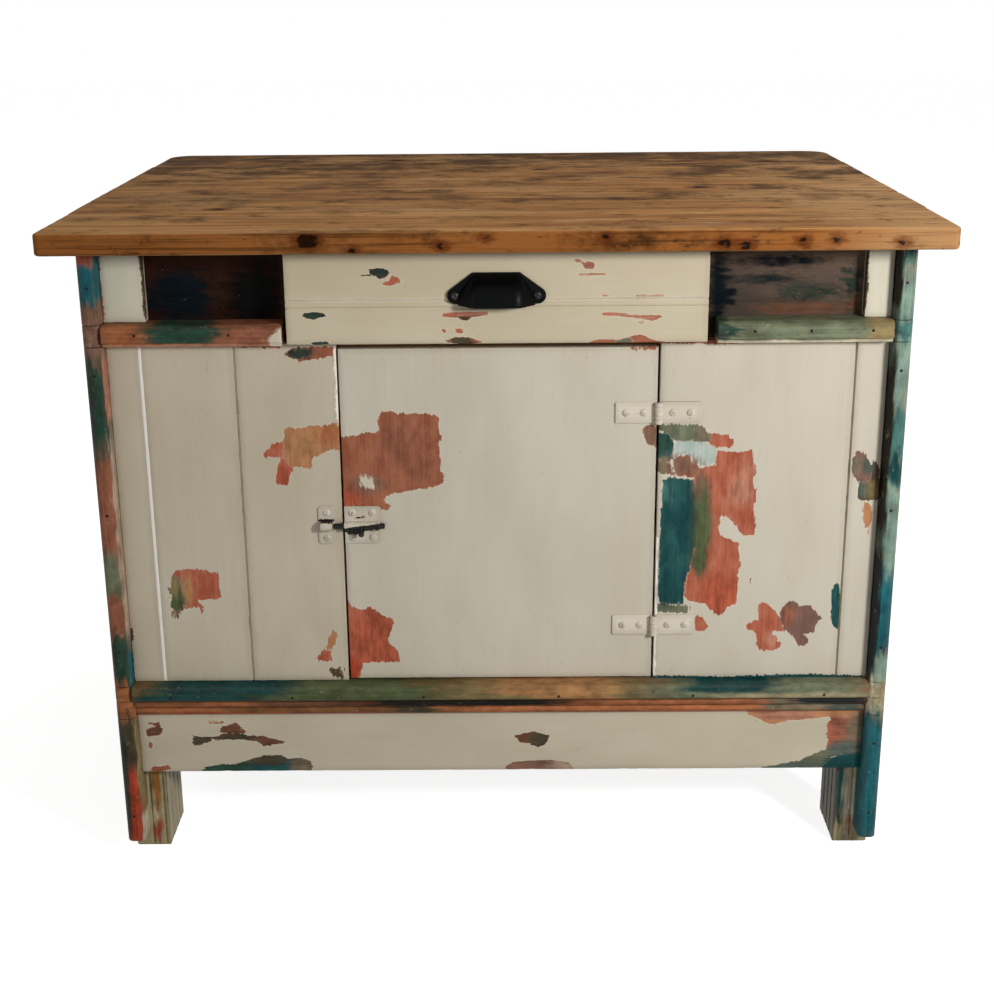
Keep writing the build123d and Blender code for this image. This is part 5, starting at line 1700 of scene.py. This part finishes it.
@dataclass
class Fasteners:
    """Screws in the ironwork and nails in the boards, made by one tree of geometry nodes, in millimetres."""

    slot_width: float = 1.1
    hinge_x: float = 184.75
    hinge_levels: Pair = (571.0, 307.5)
    leaf_front: float = -332.0
    screw_offsets: Pair = (16.8, 37.3)
    bolt_levels: Pair = (421.0, 452.0)
    bolt_front: float = -331.5
    keeper_x: float = -201.75
    plate_places: Pair = (-172.0, -148.0)
    pull_screws: tuple[Place, ...] = ((-46.0, -353.0, 712.0), (46.0, -353.0, 712.0))
    rail_front: float = -350.0
    rail_nails: tuple[Pair, ...] = (
        *((x, 222.0) for x in (-398.0, -251.0, -92.0, 71.0, 233.0, 391.0)),
        *((x, 669.0) for x in (289.0, 352.0, 421.0, -301.0, -407.0)),
    )
    bead_front: float = -347.0
    bead_places: Pair = (-456.0, 456.0)
    bead_levels: tuple[float, ...] = (60.0, 155.0, 282.0, 455.0, 622.0, 722.0)
    edge_front: float = -389.6
    edge_nails: tuple[Pair, ...] = ((365.8, 777.0), (436.8, 773.2), (245.9, 773.6), (267.5, 771.3))
    back_face: float = 350.0
    back_places: tuple[float, ...] = tuple(
        -405.1 + 115.75 * board + offset for board in range(8) for offset in (-30, 30)
    )
    back_levels: Pair = (150.0, 655.0)
    side_face: float = 459.0
    side_places: tuple[float, ...] = tuple(
        -203.6 + 96.8 * board + offset for board in range(5) for offset in (-25, 25)
    )
    side_levels: Pair = (212.0, 678.0)

    def sets(self) -> list[Heads]:
        """List each set of heads.

        Returns:
            The sets, in the order in which they are made.
        """
        slotted, plain = HeadKind.SLOTTED, HeadKind.PLAIN
        leaf = tuple(product(self.hinge_levels, self.screw_offsets))
        frame_side = tuple((self.hinge_x + offset, self.leaf_front, level) for level, offset in leaf)
        door_side = tuple((self.hinge_x - offset, self.leaf_front, level) for level, offset in leaf)
        keeper = product((self.keeper_x,), (self.bolt_front,), self.bolt_levels)
        plate = product(self.plate_places, (self.bolt_front,), self.bolt_levels)
        rails = ((x, self.rail_front, z) for x, z in self.rail_nails)
        beads = product(self.bead_places, (self.bead_front,), self.bead_levels)
        edge = ((x, self.edge_front, z) for x, z in self.edge_nails)
        back = product(self.back_places, (self.back_face,), self.back_levels)
        left = product((-self.side_face,), self.side_places, self.side_levels)
        right = product((self.side_face,), self.side_places, self.side_levels)
        return [
            Heads("screws_frame", "cabinet", slotted, 4.5, 2.3, 3, (*frame_side, *keeper)),
            Heads("screws_door", "door", slotted, 4.5, 2.3, 5, (*door_side, *plate)),
            Heads("screws_pull", "drawer", slotted, 4.4, 1.8, 7, self.pull_screws),
            Heads("nails_front", "cabinet", plain, 1.7, 0.5, 11, (*rails, *beads)),
            Heads("nails_worktop", "cabinet", plain, 2.6, 0.4, 13, tuple(edge)),
            Heads("nails_back", "cabinet", plain, 2.6, 0.6, 17, tuple(back), (0.0, 1.0, 0.0)),
            Heads("nails_side_left", "cabinet", plain, 2.6, 0.6, 19, tuple(left), (-1.0, 0.0, 0.0)),
            Heads("nails_side_right", "cabinet", plain, 2.6, 0.6, 23, tuple(right), (1.0, 0.0, 0.0)),
        ]

    def tree(self) -> bpy.types.NodeTree:
        """Build the tree that puts a head on each point, facing the way that the point says.

        Returns:
            The tree.
        """
        tree = bpy.data.node_groups.new("fastener_heads", "GeometryNodeTree")
        for name, kind in (
            ("Places", "NodeSocketGeometry"),
            ("Radius", "NodeSocketFloat"),
            ("Rise", "NodeSocketFloat"),
            ("Slot Width", "NodeSocketFloat"),
            ("Slotted", "NodeSocketBool"),
            ("Seed", "NodeSocketInt"),
            ("Finish", "NodeSocketMaterial"),
        ):
            tree.interface.new_socket(name, in_out="INPUT", socket_type=kind)
        tree.interface.new_socket("Heads", in_out="OUTPUT", socket_type="NodeSocketGeometry")
        add = Sheet(tree).add
        given = add("NodeGroupInput").node.outputs
        radius, rise = given["Radius"], given["Rise"]
        ball = add("GeometryNodeMeshUVSphere", {"Segments": 18, "Rings": 8, "Radius": 1.0})
        size = add("ShaderNodeCombineXYZ", {0: radius, 1: radius, 2: rise})
        dome = add("GeometryNodeTransform", {"Geometry": ball, "Scale": size})
        reach = add("ShaderNodeMath", {0: radius, 1: 3.0}, operation="MULTIPLY")
        bar_size = add("ShaderNodeCombineXYZ", {0: reach, 1: given["Slot Width"], 2: rise})
        bar = add("GeometryNodeMeshCube", {"Size": bar_size})
        lift = add("ShaderNodeCombineXYZ", {2: rise})
        cutter = add("GeometryNodeTransform", {"Geometry": bar, "Translation": lift})
        cut = add("GeometryNodeMeshBoolean", {0: dome, 1: cutter}, operation="DIFFERENCE")
        head = add("GeometryNodeSwitch", {0: given["Slotted"], 1: dome, 2: cut}, input_type="GEOMETRY")
        facing = add("GeometryNodeInputNamedAttribute", {"Name": "facing"}, data_type="FLOAT_VECTOR")
        turned = add("FunctionNodeAlignRotationToVector", {"Vector": facing}, axis="Z")
        chance = {2: 0.0, 3: 2 * math.pi, "Seed": given["Seed"]}
        angle = add("FunctionNodeRandomValue", chance, out=1, data_type="FLOAT")
        twist = add("FunctionNodeAxisAngleToRotation", {"Axis": (0.0, 0.0, 1.0), "Angle": angle})
        spin = add("FunctionNodeRotateRotation", {0: turned, 1: twist}, rotation_space="LOCAL")
        stand = {"Points": given["Places"], "Instance": head, "Rotation": spin}
        placed = add("GeometryNodeInstanceOnPoints", stand)
        real = add("GeometryNodeRealizeInstances", {"Geometry": placed})
        done = add("GeometryNodeSetMaterial", {"Geometry": real, "Material": given["Finish"]})
        add("NodeGroupOutput", {"Heads": done})
        return tree

    def build(self) -> None:
        """Make each set of heads as a plain mesh on its body."""
        tree = self.tree()
        white, dark, rust = (
            Tone("#DAD1BF", "#C0B6A2", 0.35),
            Tone("#383634", "#1A1918", 0.3),
            Tone("#33241C", "#1E1511", 0.6),
        )
        coated = Ironwork("painted_screws", white, "#5E5446", 0.0, 0.6, 0.25).build()
        lacquer = Ironwork("lacquered_screws", dark, "#8A8680", 0.3, 0.6, 0.2).build()
        nails = Ironwork("rusted_nail_heads", rust, "#5A3320", 0.0, 0.8, 0.1).build()
        keys = {item.name: item.identifier for item in tree.interface.items_tree if item.in_out == "INPUT"}
        for heads in self.sets():
            finish = lacquer if heads.body == "drawer" else coated
            if heads.kind is HeadKind.PLAIN:
                finish = nails
            points = bpy.data.meshes.new(f"{heads.name}_places")
            points.from_pydata([Vector(place) * MM for place in heads.places], [], [])
            write_attribute(points, "facing", np.tile(heads.facing, (len(heads.places), 1)))
            carrier = bpy.data.objects.new(f"{heads.name}_places", points)
            bpy.context.scene.collection.objects.link(carrier)
            modifier = carrier.modifiers.new("heads", "NODES")
            modifier.node_group = tree
            for name, value in (
                ("Radius", heads.radius * MM),
                ("Rise", heads.rise * MM),
                ("Slot Width", self.slot_width * MM),
                ("Slotted", heads.kind is HeadKind.SLOTTED),
                ("Seed", heads.seed),
                ("Finish", finish),
            ):
                modifier[keys[name]] = value
            ready = carrier.evaluated_get(bpy.context.evaluated_depsgraph_get())
            mesh = bpy.data.meshes.new_from_object(ready)
            bpy.data.objects.remove(carrier)
            places = np.zeros(len(mesh.vertices) * 3)
            mesh.vertices.foreach_get("co", places)
            write_attribute(mesh, "grain", places.reshape(-1, 3) / MM)
            hand_over(show(heads.name, mesh, finish), heads.body, "steel")


@dataclass
class Studio:
    """Camera, lamps, world and pale floor, in metres and degrees."""

    focal_px: float = 1583.24
    frame_px: float = 994.0
    sensor_mm: float = 36.0
    far: float = 200.0
    eye: Place = (0.009489, -2.090267, 1.049436)
    pitch: float = 18.25
    yaw: float = -0.36
    roll: float = -0.497
    aim: Place = (0.0, 0.0, 0.45)
    lamps: tuple[tuple[str, Place, float, float], ...] = (
        ("key_lamp", (1.2, -1.65, 1.15), 0.3, 25),
        ("fill_lamp", (-2.4, -2.2, 1.2), 1.6, 8),
        ("top_lamp", (0.7, 0.6, 2.8), 1.6, 27),
    )
    ambient: float = 0.27
    background: float = 1.0
    floor_glow: float = 0.86
    floor_size: float = 30.0

    def camera(self) -> None:
        """Set the camera where the photograph was taken from."""
        lens = bpy.data.cameras.new("photo_camera")
        lens.sensor_fit = "HORIZONTAL"
        lens.sensor_width = self.sensor_mm
        lens.lens = self.focal_px / self.frame_px * self.sensor_mm
        lens.clip_end = self.far
        pitch, yaw, roll = (math.radians(angle) for angle in (self.pitch, self.yaw, self.roll))
        ahead = Vector((math.sin(yaw) * math.cos(pitch), math.cos(yaw) * math.cos(pitch), -math.sin(pitch)))
        level = Vector((math.cos(yaw), -math.sin(yaw), 0.0))
        above = level.cross(ahead)
        right = math.cos(roll) * level + math.sin(roll) * above
        up = -math.sin(roll) * level + math.cos(roll) * above
        turn = Matrix((right, up, -ahead)).transposed().to_4x4()
        camera = bpy.data.objects.new("photo_camera", lens)
        camera.matrix_world = Matrix.Translation(self.eye) @ turn
        bpy.context.scene.collection.objects.link(camera)
        bpy.context.scene.camera = camera

    def lamp(self, name: str, place: Place, size: float, power: float) -> None:
        """Hang a soft square lamp that looks at the middle of the unit.

        Args:
            name: The lamp's name.
            place: Where it hangs.
            size: The side of its square.
            power: Its power in watts.
        """
        light = bpy.data.lights.new(name, "AREA")
        light.shape = "SQUARE"
        light.size = size
        light.energy = power
        lamp = bpy.data.objects.new(name, light)
        lamp.location = place
        lamp.rotation_euler = (Vector(self.aim) - Vector(place)).to_track_quat("-Z", "Y").to_euler()
        bpy.context.scene.collection.objects.link(lamp)

    def build(self) -> None:
        """Build the studio."""
        scene = bpy.context.scene
        scene.view_settings.view_transform = "Standard"
        self.camera()
        for lamp in self.lamps:
            self.lamp(*lamp)
        scene.world = bpy.data.worlds.new("studio_world")
        scene.world.use_nodes = True
        sky = Sheet(scene.world.node_tree)
        sky.tree.nodes.clear()
        strength = self.seen_plainly(sky, self.ambient, self.background)
        ground = sky.add("ShaderNodeBackground", {"Color": (1.0, 1.0, 1.0, 1.0), "Strength": strength})
        sky.add("ShaderNodeOutputWorld", {"Surface": ground})
        self.floor()

    def floor(self) -> None:
        """Lay the pale floor."""
        sheet = Sheet.named("pale_floor")
        glow = self.seen_plainly(sheet, 0.0, self.floor_glow)
        dust = sheet.add("ShaderNodeTexNoise", {"Scale": 40.0})
        rough = sheet.add("ShaderNodeMapRange", {0: dust, 3: 0.8, 4: 1.0})
        paper = sheet.add("ShaderNodeBsdfDiffuse", {"Color": (0.5, 0.5, 0.5, 1.0), "Roughness": rough})
        lit = sheet.add("ShaderNodeEmission", {"Strength": glow})
        both = sheet.add("ShaderNodeAddShader", {0: paper, 1: lit})
        sheet.add("ShaderNodeOutputMaterial", {"Surface": both})
        half = self.floor_size / 2
        mesh = bpy.data.meshes.new("floor")
        corners = [(-half, -half, 0), (half, -half, 0), (half, half, 0), (-half, half, 0)]
        mesh.from_pydata(corners, [], [(0, 1, 2, 3)])
        mesh.materials.append(sheet.material)
        floor = bpy.data.objects.new("floor", mesh)
        bpy.context.scene.collection.objects.link(floor)

    def seen_plainly(self, sheet: Sheet, unseen: float, seen: float) -> Socket:
        """Give one strength to rays that show the background, and another to the light that it throws.

        Args:
            sheet: The sheet that the nodes go on.
            unseen: The strength for light on the object.
            seen: The strength for the camera, reflections and views through glass.

        Returns:
            The strength.
        """
        path = sheet.add("ShaderNodeLightPath").node.outputs
        shown = path["Is Camera Ray"]
        for name in ("Is Glossy Ray", "Is Transmission Ray"):
            shown = sheet.add("ShaderNodeMath", {0: shown, 1: path[name]}, operation="MAXIMUM")
        return sheet.add("ShaderNodeMapRange", {0: shown, 3: unseen, 4: seen})


def corners(bounds: Iterable[Vector]) -> list[list[float]]:
    """Turn a box's two corners into plain lists."""
    return [[float(value) for value in corner] for corner in bounds]


def main() -> None:
    """Build each sub-assembly in order, then the studio."""
    logging.basicConfig(level=logging.INFO, format="%(name)s: %(message)s")
    noise.seed_set(STREAK_SEED)
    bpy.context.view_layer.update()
    unit = (Worktop(), PaintedFront(), Mouldings(), Carcass(), Drawer(), Door(), Fasteners())
    for assembly in (*unit, Studio()):
        assembly.build()
        LOG.info("%s done", type(assembly).__name__)
    bpy.context.view_layer.update()


if __name__ == "__main__":
    main()
